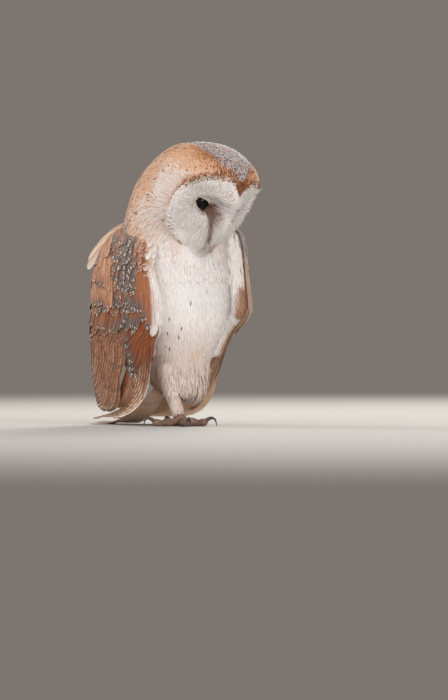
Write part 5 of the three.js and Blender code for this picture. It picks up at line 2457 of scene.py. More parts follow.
        colours = at_corners(colour)
        return Shape(
            points=rings.reshape(-1, 3),
            loops=loops,
            sides=sides,
            colours=np.where(low_side, at_corners(pale) * 0.85 + 0.15 * colours, colours),
            patch=np.where(low_side, at_corners(patch_low), at_corners(patch_top)),
            shading=at_corners(normal) * np.where(low_side, -1.0, 1.0),
            under=under,
            marks=at_corners(marks) * np.where(low_side, np.array([0, 0.35, 0, 0.15]), 1.0),
            vane=at_corners(vane),
        )


def ringed(upper: Array, lower: Array) -> Array:
    """Values round each section: across the upper side, then back across the lower one without its edges."""
    return np.concatenate([upper, lower[:, :, 1:-1][:, :, ::-1]], 2)


def spread(first: tuple, last: tuple, count: int, bow: float = 0.0) -> Array:
    """Places evenly from the first to the last, with the middle ones moved up by bow.

    Args:
        first: The first place.
        last: The last place.
        count: How many places.
        bow: How far up the middle ones are moved.

    Returns:
        The places, shape (count, 2).
    """
    t = np.linspace(0, 1, count)[:, None]
    line = np.asarray(first, float) * (1 - t) + np.asarray(last, float) * t
    line[:, 1] += bow * np.sin(np.pi * t[:, 0])
    return line


# ---------------------------------------------------------------- wings and tail


@dataclass(frozen=True)
class Wing:
    """One folded wing: its sheet is unrolled as millimetres behind the leading edge, and height.

    Attributes:
        side: 1 for the left one and -1 for the right one.
        name: Its name.
        rows: Level slices, as under driving sizes.
        setback: Share of the left wing's setback that its long flight feathers take: 1 on the left, 0 on the right.
        wrap: How far the leading edge is wrapped round to the front.
        corner_from: Share of the depth at which the outer face turns in behind the back.
    """

    side: int
    name: str
    rows: tuple
    setback: float
    wrap: float = 5.0
    corner_from: float = 0.45

    def outline(self, z: Array, sink: float = 0.0) -> Array:
        """The outer face's level lines: along the side, then round behind the back in a quarter of a rounded box.

        Args:
            z: Heights, shape (levels, 1).
            sink: How far the lines are set in.

        Returns:
            Points of shape (levels, points, 3) from the leading edge back.
        """
        row = table(self.rows, z)
        lead, trail, outer, inner = (row[..., i] for i in (1, 2, 3, 4))
        corner = lead + self.corner_from * (trail - lead)
        s = np.linspace(0, 1, 60)[None]
        x_side = outer - self.wrap * (1 - s) ** 4
        f_side = lead + (corner - lead) * s
        turn = np.linspace(0, np.pi / 2, 60)[None, 1:]
        x_back = inner + (outer - inner) * np.cos(turn) ** 0.5
        f_back = corner - (corner - trail) * np.sin(turn) ** 0.5
        x = np.concatenate([x_side, x_back], 1)
        f = np.concatenate([f_side, f_back], 1)
        return owl(self.side * (x - sink), f + sink * (f < -20), z + 0 * x)

    def sheet(self) -> Sheet:
        """The outer face laid out evenly.

        Returns:
            The sheet.
        """
        z = np.linspace(13, 187, 88)
        lines = self.outline(z[:, None])
        q = np.linspace(0, 122, 62)
        grid = np.empty((len(z), len(q), 3))
        for level, line in enumerate(lines):
            reach = distances(line)
            grid[level] = read_line(q, reach, line)
            over = q > reach[-1]
            grid[level, over] = line[-1] + owl(-self.side, -0.12, 0) * (q[over] - reach[-1])[:, None]
        outward = owl(self.side * 1.0, -0.6, 0.0)
        return Sheet(grid, q, z, outward)

    def flesh(self) -> Shape:
        """The wing's own thickness above the flight feathers, which the skin takes in.

        Returns:
            A closed shape.
        """
        z = np.linspace(64, 186, 34)[:, None]
        outer = self.outline(z, 2.2)[:, 4::6]
        inner = outer * np.array([0.78, 0.90, 1.0])
        ring = np.concatenate([outer, inner[:, ::-1]], 1)
        return closed_loft(ring, Tint.TAWNY.light)

    def blade(self) -> Sheet:
        """The sheet of the long flight feathers: a strip that turns from upright to flat on its way back.

        Its line goes through the table's points; across it the strip runs along the level-upright way turned by the
        table's angle about the line.

        Returns:
            The sheet, with its places across first and its distance along the line, below zero, second.
        """
        share = np.linspace(0, 1, 60)
        row = by_share(PRIMARIES, share)
        centre = owl(self.side * row[:, 0], row[:, 1] - self.setback * row[:, 6], row[:, 2])
        along = unit(np.gradient(centre, axis=0))
        outward = across(along, np.broadcast_to(owl(self.side * 1.0, 0, 0), along.shape))
        upright = np.cross(along, outward)
        turn = np.radians(row[:, 5])[:, None]
        wide = upright * np.cos(turn) * np.sign(upright[:, 1:2]) - outward * np.sin(turn)
        reach = distances(centre)
        even = np.linspace(0, reach[-1], 60)
        p = np.linspace(-16, 16, 17)
        line = centre[:, None] + wide[:, None] * (row[:, 3:4] * p[None] / 16)[..., None]
        grid = np.stack([read_line(even, reach, line[:, j]) for j in range(len(p))], 1)
        face = outward * np.cos(turn) + owl(0, 0, 1) * np.sin(turn) + owl(self.side * 0.2, 0, 0.2)
        return Sheet(grid[::-1], p, -even[::-1], read_line(even, reach, face)[::-1, None])

    def coverts(self, sheet: Sheet) -> Shape:
        """Rows of small feathers over the shoulder and the arm.

        Args:
            sheet: The wing's sheet.

        Returns:
            The feathers.
        """
        dice = np.random.default_rng(70 + self.side)
        z, q = np.meshgrid(np.arange(185, 119, -4.6), np.arange(-2, 124, 4.4), indexing="ij")
        q = q + 2.2 * (np.arange(z.shape[0]) % 2)[:, None]
        place = np.stack([q.ravel(), z.ravel()], -1) + dice.normal(size=(q.size, 2)) * np.array([0.9, 1.6])
        place = place[(place[:, 0] > 15) | (place[:, 1] > 154)]
        count = len(place)
        tip = place + np.stack([2.0 + 1.4 * dice.normal(size=count), -14.5 - 5 * dice.random(count)], -1)
        grey = self.grey(tip[:, 0], tip[:, 1], dice)
        front = ease(17, 6, tip[:, 0])
        base = blend(Tint.ORANGE.light, Tint.BUFF.light, 0.6 * ease(40, 70, tip[:, 0]))
        base = blend(base, Tint.RUFOUS.light, (0.4 * front + 0.4) * dice.random(count))
        base = blend(base, Tint.CREAM.light, 0.5 * dice.random(count) ** 2)
        base = blend(base, Tint.CREAM.light, ease(168, 184, place[:, 1]) * 0.5)
        rim = ease(6.0, 0.0, place[:, 0])
        base = blend(base, Tint.WHITE.light, rim)
        tail_grey = (dice.random(count) < 0.5) * 0.9 * ease(38, 46, tip[:, 0])
        # Painted light: on the left wing only, the front coverts lose their grey, so they read as lit from behind.
        grey = np.maximum(grey, tail_grey) * (ease(26, 40, tip[:, 0]) if self.side > 0 else 1.0)
        draw = dice.random(count)
        pearl = (draw < 0.42 * grey) * ease(4, 10, place[:, 0])
        lesser = Plumes(
            place, tip, 3.0 * (0.8 + 0.4 * dice.random(count)), base=base, end=blend(base, Tint.BUFF.light, 0.2),
            frost=grey, frost_from=np.where(tip[:, 0] > 44, 0.45, 0.05), pearl=pearl,
            pepper=0.3 + 0.4 * ease(20, 50, tip[:, 0]), low=0.4, high=2.2, camber=0.1, roll=0.2,
            stations=6, lanes=3, edge=Tint.BUFF.light, edge_share=0.35,
            # Painted light: on the left wing only, the front coverts are less deep, so they are paler, as if lit from
            # behind.
            deep=(1 - rim) * (ease(4, 30, place[:, 0]) if self.side > 0 else 1.0),
            under=blend(Tint.BUFF.light, Tint.WHITE.light, ease(20, 6, tip[:, 0])),
        )
        return lesser.shape(sheet, (0.0, 0.5, 0.5, 1.0), 71)

    def grey(self, q: Array, z: Array, dice: np.random.Generator) -> Array:
        """How much of the shoulder's grey patch there is at places on the sheet.

        Args:
            q: Places behind the leading edge.
            z: Heights.
            dice: The random generator.

        Returns:
            The share of grey for each.
        """
        wander = 6 * (dice.random(len(q)) - 0.5)
        left_edge = 17 - 3 * hump(z, 125, 14)
        right_edge = 42 + 4 * hump(z, 130, 20) - 8 * ease(150, 172, z)
        patch = ease(left_edge - 2, left_edge + 3, q + wander) * ease(right_edge + 3, right_edge - 2, q + wander)
        return patch * ease(92, 100, z) * ease(178, 164, z)

    def middle_rows(self, sheet: Sheet) -> Shape:
        """Median and greater coverts, the thumb's feathers and the coverts of the long feathers.

        Args:
            sheet: The wing's sheet.

        Returns:
            The feathers.
        """
        dice = np.random.default_rng(80 + self.side)
        orange, buff, rufous = Tint.ORANGE.light, Tint.BUFF.light, Tint.RUFOUS.light
        count = 22
        t = np.linspace(0, 1, count)
        root = spread((21, 139), (119, 142), count)
        tip = spread((23, 108), (121, 110), count, 2.0) + dice.normal(size=(count, 2)) * np.array([0.8, 3.0])
        shade = blend(orange, rufous, 0.6 * dice.random(count))
        median = Plumes(
            root, tip, 4.6, base=blend(shade, buff, 0.5 * t * dice.random(count)),
            frost=0.9 * (dice.random(count) < 0.75), frost_from=0.5 + 0.2 * t, pearl=(dice.random(count) < 0.6) * 1.0,
            low=0.4, high=2.3, pepper=0.7, stations=9, edge=buff, edge_share=0.35, bend=0.8,
        )
        count = 24
        t = np.linspace(0, 1, count)
        root = spread((18, 120), (119, 122), count)
        tip = spread((24, 86), (123, 82), count, 3.0) + dice.normal(size=(count, 2)) * np.array([0.8, 3.4])
        shade = blend(orange, rufous, 0.7 * dice.random(count))
        greater = Plumes(
            root, tip, 4.8, base=blend(shade, buff, 0.4 * t * dice.random(count)),
            frost=0.2 + 0.75 * ease(0.5, 0.2, t), frost_from=0.5 + 0.2 * t, pearl=(dice.random(count) < 0.5) * 1.0,
            low=0.1, high=1.7, pepper=0.6, bars=0.4, stations=10, edge=buff, edge_share=0.35, bend=1.0,
        )
        alula = Plumes(
            np.array([(16, 156), (11, 157), (6.5, 158), (1, 158)]),
            np.array([(19, 104), (14, 96), (8.5, 89), (1.5, 84)]),
            np.array([5.4, 5.2, 5.0, 4.6]), base=np.stack([orange, orange, orange * 1.05, Tint.WHITE.light]),
            frost=np.array([0.9, 0.8, 0.7, 0.0]), frost_from=np.array([0.66, 0.72, 0.76, 0.9]),
            pearl=np.array([1.0, 1.0, 1.0, 0.0]), deep=np.array([0.75, 0.75, 0.75, 0.0]),
            low=0.6, high=2.6, pepper=0.15, stations=12, edge=Tint.WHITE.light,
            edge_share=np.array([0.15, 0.2, 0.5, 1.0]), bend=1.0, camber=0.14,
        )
        tips = np.array([(4.5, 44), (10, 46), (15, 51), (19.5, 58), (23.5, 65), (27.5, 72), (31.5, 79)])
        roots = np.array([(2.5, 108), (6, 108), (10, 109), (14, 110), (18, 111), (22, 112), (26, 113)])
        primary = Plumes(
            roots[::-1], tips[::-1], 6.0, base=blend(rufous, orange, 0.25 + 0.2 * dice.random(7)),
            end=blend(rufous, Tint.BROWN.light, 0.4), frost=1.0, frost_from=0.72 + 0.08 * dice.random(7),
            pearl=(dice.random(7) < 0.6) * 1.0, low=0.0, high=1.3,
            pepper=0.3, bars=0.1, stations=14, edge=orange, edge_share=0.5, bend=0.6,
        )
        return join([
            median.shape(sheet, (0.5, 0.5, 0.75, 1.0), 81),
            greater.shape(sheet, (0.75, 0.5, 1.0, 1.0), 82),
            alula.shape(sheet, (0.5, 0.25, 0.75, 0.5), 83),
            primary.shape(sheet, (0.75, 0.25, 1.0, 0.5), 84),
        ])

    def secondaries(self, sheet: Sheet) -> Shape:
        """The arm's flight feathers, which lie over the long ones and end in a rounded step behind.

        Args:
            sheet: The wing's sheet.

        Returns:
            The feathers.
        """
        dice = np.random.default_rng(90 + self.side)
        ends = (
            # Millimetres behind the leading edge, and height, of the step that the tips make.
            (8, 12.5), (18, 12), (28, 14.5), (39, 20.5), (50, 28), (62, 38), (76, 48), (92, 56), (108, 62), (122, 66),
        )
        count = 19
        t = np.linspace(0, 1, count)
        root = spread((36, 105), (121, 114), count)
        tip = by_share(ends, t) + dice.normal(size=(count, 2)) * np.array([0.4, 1.0])
        base = blend(Tint.ORANGE.light, Tint.TAWNY.light, dice.random(count))
        base = blend(base, Tint.BROWN.light, 0.5 * dice.random(count))
        flight = Plumes(
            root, tip, 5.6, base=base, end=blend(base, Tint.SLATE.light, 0.35), frost=0.5, frost_from=0.84,
            bars=0.8, pearl=0.0, pepper=0.75, low=-0.6, high=0.9, stations=16, lanes=7,
            edge=Tint.BUFF.light, edge_share=0.55, bend=-9.0 * (1 - t) ** 1.5, roll=0.8, under=(0.95, 0.68, 0.48),
        )
        return flight.shape(sheet, (0.0, 0.0, 0.5, 0.5), 91)

    def primaries(self, blade: Sheet, sheet: Sheet) -> Shape:
        """The long flight feathers, each with its pale outer edge beside the next, and the inner ones upright behind.

        Args:
            blade: The sheet of the long feathers.
            sheet: The wing's sheet.

        Returns:
            The feathers.
        """
        count = 13
        k = np.arange(count)
        end = -blade.r[0]
        root = np.stack([4.0 * k - 12.5, np.full(count, 6.0)], -1)
        tip = np.stack([3.1 * k - 3.0, -end * (1.0 - 0.034 * k - 0.0012 * k**2)], -1)
        base = blend(Tint.ORANGE.light, Tint.BROWN.light, 0.25 + 0.35 * (k % 2))
        edge = np.where(k[:, None] == 0, Tint.WHITE.light, Tint.BUFF.light)
        flight = Plumes(
            root, tip, 7.0, base=base, end=blend(base, Tint.BROWN.light, 0.35), edge=edge,
            edge_share=np.where(k == 0, 1.0, 0.8), bars=0.85, pepper=0.5, low=-1.4 + 0.28 * k, high=-1.0 + 0.22 * k,
            stations=22, lanes=7, roll=0.5, camber=0.05, bend=-1.2, under=(0.98, 0.68, 0.47), end_from=0.75,
        )
        count = 7
        base = blend(Tint.ORANGE.light, Tint.BROWN.light, 0.25 + 0.35 * (np.arange(count) % 2))
        inner = Plumes(
            spread((2, 100), (27, 104), count), spread((-3.5, 15), (10, 12), count), 5.2, base=base,
            end=blend(base, Tint.BROWN.light, 0.35), edge=Tint.BUFF.light, edge_share=0.8, bars=0.85, pepper=0.5,
            low=-2.8, high=-2.2, stations=16, lanes=7, roll=0.5, camber=0.05, under=(0.98, 0.68, 0.47), end_from=0.75,
        )
        return join([flight.shape(blade, (0.5, 0.0, 0.75, 0.25), 95), inner.shape(sheet, (0.75, 0.0, 1.0, 0.25), 97)])

    def shoulder(self, sheet: Sheet) -> Shape:
        """The scapulars, which hang from the shoulder over the wing's inner edge.

        Args:
            sheet: The wing's sheet.

        Returns:
            The feathers.
        """
        dice = np.random.default_rng(60 + self.side)
        shapes = []
        for row, (top, length) in enumerate(((184, 34), (168, 38), (150, 40))):
            count = 11
            root = spread((58, top), (122, top - 4), count) + dice.normal(size=(count, 2)) * 1.5
            tip = root + np.stack([4 * dice.random(count), -length * (0.85 + 0.3 * dice.random(count))], -1)
            base = blend(Tint.BUFF.light, Tint.ORANGE.light, 0.5 * dice.random(count))
            plumes = Plumes(
                root, tip, 6.4, base=base, frost=0.8 * (dice.random(count) < 0.5), frost_from=0.72,
                pearl=(dice.random(count) < 0.45) * 1.0, pepper=0.5, low=1.2, high=3.2, stations=10, lanes=5,
                edge=Tint.BUFF.light, edge_share=0.5, bend=1.0, camber=0.14, deep=0.7,
            )
            shapes.append(plumes.shape(sheet, (0.75, 0.08 * row, 1.0, 0.08 * row + 0.08), 61 + row))
        return join(shapes)

    def build(self, quill: bpy.types.Material) -> None:
        """Makes the wing's pieces.

        Args:
            quill: The finish.
        """
        sheet, blade = self.sheet(), self.blade()
        nodes = (f"wing_{self.name}",)
        small = join([self.coverts(sheet), self.middle_rows(sheet), self.shoulder(sheet)])
        piece(f"wing_coverts_{self.name}", small, quill, nodes)
        piece(f"secondaries_{self.name}", self.secondaries(sheet), quill)
        long_nodes = (f"primaries_{self.name}",)
        piece(f"long_feathers_{self.name}", self.primaries(blade, sheet), quill, long_nodes)


WINGS = (Wing(-1, "right", WING_RIGHT, 0.0), Wing(1, "left", WING_LEFT, 1.0))


@dataclass(frozen=True)
class Tail:
    """The tail's feathers, laid back on the floor.

    Attributes:
        count: How many there are.
    """

    count: int = 12

    def sheet(self) -> Sheet:
        """The tail's surface: down behind the legs in a curve, then flat just over the floor.

        Returns:
            The sheet.
        """
        share = np.linspace(0, 1, 60)
        row = by_share(TAIL, share)
        line = owl(0 * share, row[:, 0], np.maximum(row[:, 1], 1.2))
        reach = distances(line)
        even = np.linspace(0, reach[-1], 50)
        line = read_line(even, reach, line)
        p = np.linspace(-24, 24, 13)
        fan = 0.55 + 0.45 * even / even[-1]
        grid = line[:, None] + owl(1.0, 0.0, 0.0) * (fan[:, None] * p[None])[..., None]
        return Sheet(grid[::-1], p, -even[::-1], owl(0.0, 0.3, 1.0))

    def build(self, quill: bpy.types.Material) -> None:
        """Makes the tail: twelve feathers, the middle ones on top.

        Args:
            quill: The finish.
        """
        sheet = self.sheet()
        order = np.array([0, 11, 1, 10, 2, 9, 3, 8, 4, 7, 5, 6])
        p = np.linspace(-19, 19, self.count)[order]
        end = sheet.r[0]
        root = np.stack([p * 0.55, np.full(self.count, -2.0)], -1)
        tip = np.stack([p * 1.0, end + 2 + 5 * (np.abs(p) / 19) ** 2], -1)
        level = np.arange(self.count) / self.count
        base = blend(Tint.BUFF.light, Tint.TAWNY.light, 0.35 + 0.4 * level)
        plumes = Plumes(
            root, tip, 6.6, base=base, end=Tint.CREAM.light * 0.9, end_from=0.8, bars=0.8, pepper=0.6,
            low=-0.6 + 0.2 * level, high=-0.9 + 2.2 * level, roll=0.1, camber=0.03, stations=18, lanes=7,
            edge=Tint.CREAM.light, edge_share=0.3, under=(0.95, 0.68, 0.50), deep=0.5,
        )
        shape = plumes.shape(sheet, (0.0, 0.0, 1.0, 1.0), 97)
        shape.points[:, 2] = np.maximum(shape.points[:, 2], 0.02)
        piece("tail_feathers", shape, quill, ("tail",))


# The feathers that stand out behind the right shoulder. Rows are root, tip and half width.
RUFFLED = (
    ((-31, -28, 184), (-36, -66, 169), 7.5),
    ((-34, -32, 181), (-40, -71, 162), 8.0),
    ((-37, -36, 177), (-43, -76, 154), 8.5),
    ((-39, -38, 171), (-45, -76, 147), 8.5),
    ((-34, -36, 176), (-37, -72, 150), 7.5),
)


def ruffled(quill: bpy.types.Material) -> None:
    """The feathers that stand out behind the right shoulder, each on a sheet of its own between root and tip.

    Args:
        quill: The finish.
    """
    shapes = []
    for number, (root, tip, half) in enumerate(RUFFLED):
        start, end = owl(*root), owl(*tip)
        span = end - start
        along = unit(span)
        out = across(along, unit(owl(-0.9, -0.1, 0.55)))
        wide = np.cross(along, out)
        t = np.linspace(0, 1, 12)[:, None, None]
        p = np.linspace(-12, 12, 9)
        length = float(np.linalg.norm(span))
        bow = 3.0 * np.sin(np.pi * t) - 0.02 * (p**2)[None, :, None]
        grid = start + span * t + wide * p[None, :, None] + out * bow + owl(0, 0, 1) * 2.0 * np.sin(np.pi * t)
        sheet = Sheet(grid[::-1], p, -np.linspace(0, length, 12)[::-1], out)
        plumes = Plumes(
            np.array([(0.0, 0.0), (2.5, -2.0)]), np.array([(0.0, -length), (4.0, -length + 5)]),
            np.array([half, half * 0.8]),
            base=blend(Tint.BUFF.light, Tint.CREAM.light, 0.45), end=Tint.CREAM.light,
            edge=Tint.WHITE.light, edge_share=0.5, pearl=np.array([float(number < 2), 0.0]),
            frost=0.3 * float(number == 0), frost_from=0.35, pepper=0.2,
            low=0, high=np.array([0.6, -0.8]), camber=0.18, roll=0.2,
            stations=12, lanes=7, under=(0.95, 0.8, 0.68), deep=0.15,
        )
        cells = (0.2 * number, 0.0, 0.2 * number + 0.19, 0.2)
        shapes.append(plumes.shape(sheet, cells, 99 + number))
    piece("ruffled_scapulars", join(shapes), quill, ("scapulars_right",))


# ---------------------------------------------------------------- feet


@dataclass(frozen=True)
class Toe:
    """A toe flat on the floor.

    Attributes:
        name: Its name.
        heading: Degrees from straight ahead to the left.
        length: Its length.
        root: Radius where it leaves the foot.
        end: Radius where the claw starts.
        claw: The claw's length.
    """

    name: str
    heading: float
    length: float
    root: float
    end: float
    claw: float

    @property
    def ahead(self) -> tuple[float, float]:
        """The heading as left and forward parts."""
        return float(np.sin(np.radians(self.heading))), float(np.cos(np.radians(self.heading)))

    def rows(self) -> Array:
        """Knuckles make it swell twice: the radius has cos(4 pi s) added along it.

        Returns:
            Rows of x, f, z and radius.
        """
        s = np.linspace(0, 1, 14)
        x, f = self.ahead
        radius = self.root + (self.end - self.root) * s + 0.45 * np.cos(4 * np.pi * s)
        height = np.maximum(1.6 * (1 - 2.2 * s), 0) + radius * 0.92
        return np.stack([FOOT_X + x * self.length * s, FOOT_F + f * self.length * s, height, radius], -1)

    def claw_rows(self) -> Array:
        """The claw arches up from the toe's end and comes down to a point on the floor.

        Returns:
            Rows of x, f, z and radius.
        """
        s = np.linspace(0, 1, 12)
        x, f = self.ahead
        reach = self.length + 0.8 + self.claw * 0.78 * np.sin(s * np.pi / 2)
        height = self.end * 0.92
        z = height + 1.2 + 4.2 * np.sin(s * np.pi) - (height + 0.9) * s * s
        return np.stack([FOOT_X + x * reach, FOOT_F + f * reach, z, 2.15 * (1 - 0.88 * s)], -1)


# Where the toes of the foot that stands meet.
FOOT_X, FOOT_F, FOOT_Z = -15.5, 24.0, 6.2
TOES = (
    Toe("hind", 172, 17, 3.9, 3.2, 13), Toe("inner", 27, 24, 4.1, 3.3, 15),
    Toe("middle", -26, 27, 4.1, 3.3, 15.5), Toe("outer", -104, 25, 3.9, 3.1, 14.5),
)


@dataclass(frozen=True)
class Feet:
    """The foot that stands, spread on the floor, and the drawn-up one, a loose fist in the belly's feathers.

    Attributes:
        fist_x: How far left the fist's middle is.
        fist_f: How far ahead it is.
        fist_z: How high it is.
        curl: Radius of the curl of its toes.
        ankle: Rows of x, f, z and radius from the shank down into the standing foot.
        voxel: Edge of the cubes that a foot is melted in.
        relaxing: How many times the melted foot is relaxed.
    """

    fist_x: float = 9.0
    fist_f: float = 14.5
    fist_z: float = 38.0
    curl: float = 5.6
    ankle: tuple = ((-15.5, 20.5, 13, 4.4), (-15.5, 22, 9, 5.0), (-15.5, 23.5, 5, 5.2))
    voxel: float = 0.55
    relaxing: int = 3

    def ball(self, centre: tuple, radius: float, flat: float) -> Shape:
        """A ball, flattened by a factor.

        Args:
            centre: Its middle.
            radius: Its radius.
            flat: Its height as a share of its width.

        Returns:
            The closed ball.
        """
        tilt = np.linspace(0.06, np.pi - 0.06, 20)[:, None]
        way = circle(30)[None]
        x, f = np.sin(tilt) * np.cos(way), np.sin(tilt) * np.sin(way)
        z = np.cos(tilt) + 0 * way
        grid = owl(centre[0] + radius * x, centre[1] + radius * f, centre[2] + radius * flat * z)
        return closed_loft(grid, Tint.BROWN.light)

    def melted(self, name: str, shapes: list[Shape], material: bpy.types.Material, node: str) -> None:
        """Melts toes and ball into one foot, and flattens its sole.

        Args:
            name: The piece's name.
            shapes: Closed shapes that overlap.
            material: The finish.
            node: The CAD node that isn't shown because of it.
        """
        points, _, quads = remeshed(shapes, self.voxel, self.relaxing)
        points[:, 2] = np.maximum(points[:, 2], 0.0)
        loops = quads.ravel()
        colours = np.tile(Tint.BROWN.light, (len(loops), 1))
        low, high = points.min(0), points.max(0)
        patch = ((points - low) / (high - low))[:, :2]
        piece(name, Shape(points, loops, np.full(len(quads), 4), colours, patch[loops]), material, (node,))

    def fist_rows(self, k: int) -> Array:
        """A toe that curls down and back under the ball, along an arc.

        Args:
            k: Which toe, from 0 to 2.

        Returns:
            Rows of x, f, z and radius.
        """
        turn = np.linspace(-0.1, 1.15, 12) * np.pi
        x = np.full(12, self.fist_x + (k - 1) * 4.6)
        radius = 2.6 + 0.25 * np.cos(np.linspace(0, 4 * np.pi, 12))
        f = self.fist_f + 1 + self.curl * np.cos(turn)
        z = self.fist_z - 1 - self.curl * np.sin(turn)
        return np.stack([x, f, z, radius], -1)

    def build(self, toe: bpy.types.Material, claw: bpy.types.Material) -> None:
        """Makes both feet and their claws.

        Args:
            toe: The toes' finish.
            claw: The claws' finish.
        """
        shapes = [closed_loft(tube(t.rows(), 0.0, 30, 20), Tint.BROWN.light) for t in TOES]
        shapes.append(self.ball((FOOT_X, FOOT_F, FOOT_Z), 6.4, 0.8))
        shapes.append(closed_loft(tube(self.ankle, 0.0), Tint.BROWN.light))
        self.melted("standing_foot", shapes, toe, "foot_right")
        for one in TOES:
            grid = tube(one.claw_rows(), 0.0, 28, 18)
            grid[..., 2] = np.maximum(grid[..., 2], 0.0)
            shape = closed_loft(grid, Tint.DARK.light)
            piece(f"curved_claw_{one.name}", shape, claw, (f"claw_right_{one.name}",))
        shapes = [closed_loft(tube(self.fist_rows(k), 0.0, 30, 18), Tint.BROWN.light) for k in range(3)]
        shapes.append(self.ball((self.fist_x, self.fist_f, self.fist_z), 5.3, 1.0))
        self.melted("drawn_up_foot", shapes, toe, "foot_left")
        s = np.linspace(0, 1, 10)
        for k in range(3):
            x, f, z = self.fist_rows(k)[-1, :3]
            rows = np.stack([x + 0 * s, f - 0.5 + 5 * s, z - 1 - 6 * s * (1 - 0.4 * s), 1.7 * (1 - 0.85 * s)], -1)
            shape = closed_loft(tube(rows, 0.0, 20, 14), Tint.DARK.light)
            piece(f"tucked_claw_{k + 1}", shape, claw, (f"claw_left_{k + 1}",))


# ---------------------------------------------------------------- the studio


@dataclass(frozen=True)
class Lamp:
    """A square soft lamp that faces the owl's middle.

    Attributes:
        name: The lamp's name.
        place: Where it hangs, in metres.
        size: Its edge.
        power: Its watts.
        colour: Its colour.
        aim: The owl's middle.
    """

    name: str
    place: tuple
    size: float
    power: float
    colour: tuple
    aim: tuple = (0, 0, 0.12)

    def build(self) -> None:
        """Hangs the lamp and turns it."""
        light = bpy.data.lights.new(self.name, "AREA")
        light.size, light.energy, light.color = self.size, self.power, self.colour
        made = placed(self.name, light)
        made.location = self.place
        made.rotation_euler = (Vector(self.aim) - Vector(self.place)).to_track_quat("-Z", "Y").to_euler()


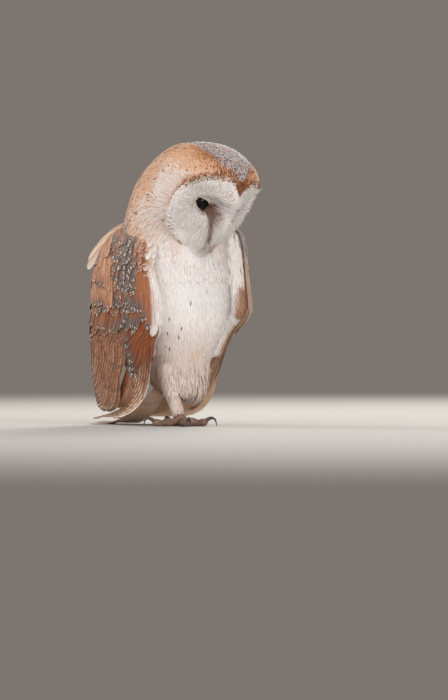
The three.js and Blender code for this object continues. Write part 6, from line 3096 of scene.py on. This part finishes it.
@dataclass(frozen=True)
class Studio:
    """The pale floor that runs into the backdrop's colour, the soft lights and the camera, in metres.

    Attributes:
        backdrop: The colour all round, where it is seen.
        sky: The colour that lights the owl from all round.
        sky_strength: How strongly it does.
        floor_colour: The floor's colour under the owl.
        floor_radius: The floor's radius.
        fade: Distances from the owl between which the floor goes over into the backdrop.
        lamps: The soft lamps.
        target: What the camera looks at.
        towards: The way from there to the camera.
        distance: How far away the camera stands.
        lens: Its focal length on a 36 mm sensor, in millimetres.
    """

    backdrop: tuple = (0.205, 0.181, 0.162, 1)
    sky: tuple = (1.0, 0.985, 0.97, 1)
    sky_strength: float = 0.57
    floor_colour: tuple = (0.46, 0.44, 0.42, 1)
    floor_radius: float = 9.0
    fade: tuple = (0.25, 1.9)
    lamps: tuple = (
        Lamp("key", (-0.35, -1.9, 0.95), 0.9, 16.5, (1, 0.985, 0.97)),
        Lamp("low", (-1.45, -2.1, 0.42), 0.6, 10.5, (1, 0.99, 0.98)),
        Lamp("fill", (-1.9, -0.4, 0.7), 1.2, 9.0, (0.97, 0.985, 1)),
        Lamp("rim", (1.5, 0.9, 1.0), 0.8, 34.0, (1, 0.96, 0.9)),
        Lamp("back", (-0.7, 1.7, 1.2), 0.9, 18.0, (1, 0.97, 0.93)),
    )
    target: tuple = (0.0381, -0.0320, 0.06975)
    towards: tuple = (-0.6428, -0.7660, 0.0105)
    distance: float = 6.0
    lens: float = 331.8

    def world(self) -> None:
        """Even pale light all round; the camera, reflections and clear things see the backdrop's colour there."""
        world = bpy.data.worlds.new("studio")
        bpy.context.scene.world = world
        world.use_nodes = True
        box = Nodes(world.node_tree)
        lit = box.tree.nodes["Background"]
        box.feed(lit.inputs["Color"], self.sky)
        box.feed(lit.inputs["Strength"], self.sky_strength)
        seen = box.node("ShaderNodeBackground", None, {"Color": self.backdrop})
        rays = box.node("ShaderNodeLightPath").outputs
        camera, glossy, clear = (Maths(box, rays[f"Is {kind} Ray"]) for kind in ("Camera", "Glossy", "Transmission"))
        inputs = {0: camera | glossy | clear, 1: lit.outputs[0], 2: seen.outputs[0]}
        mix = box.node("ShaderNodeMixShader", None, inputs)
        box.feed(box.tree.nodes["World Output"].inputs["Surface"], mix.outputs[0])

    def floor(self) -> None:
        """A wide disc whose plain colour goes over into the backdrop's with the distance from the owl."""
        radii = np.concatenate([[0.0], np.geomspace(0.2, self.floor_radius, 14)])[:, None]
        way = circle(72)[None]
        grid = np.stack(np.broadcast_arrays(radii * np.cos(way), radii * np.sin(way), 0 * radii * way - 0.0003), -1)
        loops = sheet_loops(len(radii), way.size, True)[:, ::-1]
        mesh = new_mesh("floor", grid.reshape(-1, 3), loops.ravel(), np.full(len(loops), 4))
        box = Paintbox("floor", Base_Color=self.floor_colour, Roughness=0.9, Specular_IOR_Level=0.1)
        far = box.node("ShaderNodeEmission", None, {"Color": self.backdrop})
        place = box.node("ShaderNodeTexCoord").outputs["Object"]
        length = box.node("ShaderNodeVectorMath", {"operation": "LENGTH"}, {0: place})
        fade = Maths(box, length.outputs["Value"]).ease(*self.fade)
        mix = box.node("ShaderNodeMixShader", None, {0: fade, 1: box.shader.outputs[0], 2: far.outputs[0]})
        box.feed(box.tree.nodes["Material Output"].inputs["Surface"], mix.outputs[0])
        mesh.materials.append(box.material)
        placed("floor", mesh)

    def camera(self) -> None:
        """A long lens from the owl's right front, barely above its middle."""
        look = bpy.data.cameras.new("camera")
        look.lens, look.sensor_width, look.clip_end = self.lens, 36, 100
        made = placed("camera", look)
        towards = np.array(self.towards)
        made.location = np.array(self.target) + self.distance * towards / np.linalg.norm(towards)
        made.rotation_euler = Vector(-towards).to_track_quat("-Z", "Y").to_euler()
        bpy.context.scene.camera = made

    def build(self) -> None:
        """Sets up everything round the owl."""
        self.world()
        self.floor()
        for lamp in self.lamps:
            lamp.build()
        self.camera()


# ---------------------------------------------------------------- the owl


def finishes() -> dict[str, bpy.types.Material]:
    """Every finish of the owl by its name.

    Returns:
        The materials.
    """
    return {
        "down": DownFinish("down").material(),
        "skin": DownFinish("skin_down", barbs=0.0).material(),
        "quill": QuillFinish("quill").material(),
        "toe": ToeFinish("toe").material(),
        "eye": EyeFinish("eye").material(),
        "claw": HornFinish("claw", (0.11, 0.075, 0.065, 1), (0.022, 0.018, 0.018, 1), 0.28).material(),
        "bill": HornFinish("bill", (0.50, 0.33, 0.27, 1), (0.36, 0.25, 0.21, 1), 0.42).material(),
    }


def main() -> None:
    """Builds the owl and the studio."""
    logging.basicConfig(level=logging.INFO, format="%(message)s")
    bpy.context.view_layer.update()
    scene = bpy.context.scene
    scene.view_settings.view_transform = "Standard"
    Studio().build()
    finish = finishes()
    body = Body()
    body.skin(finish["skin"])
    body.coat(finish["down"])
    Face().build(finish["down"], finish["eye"], finish["bill"])
    for wing in WINGS:
        wing.build(finish["quill"])
    Tail().build(finish["quill"])
    ruffled(finish["quill"])
    Feet().build(finish["toe"], finish["claw"])


if __name__ == "__main__":
    main()
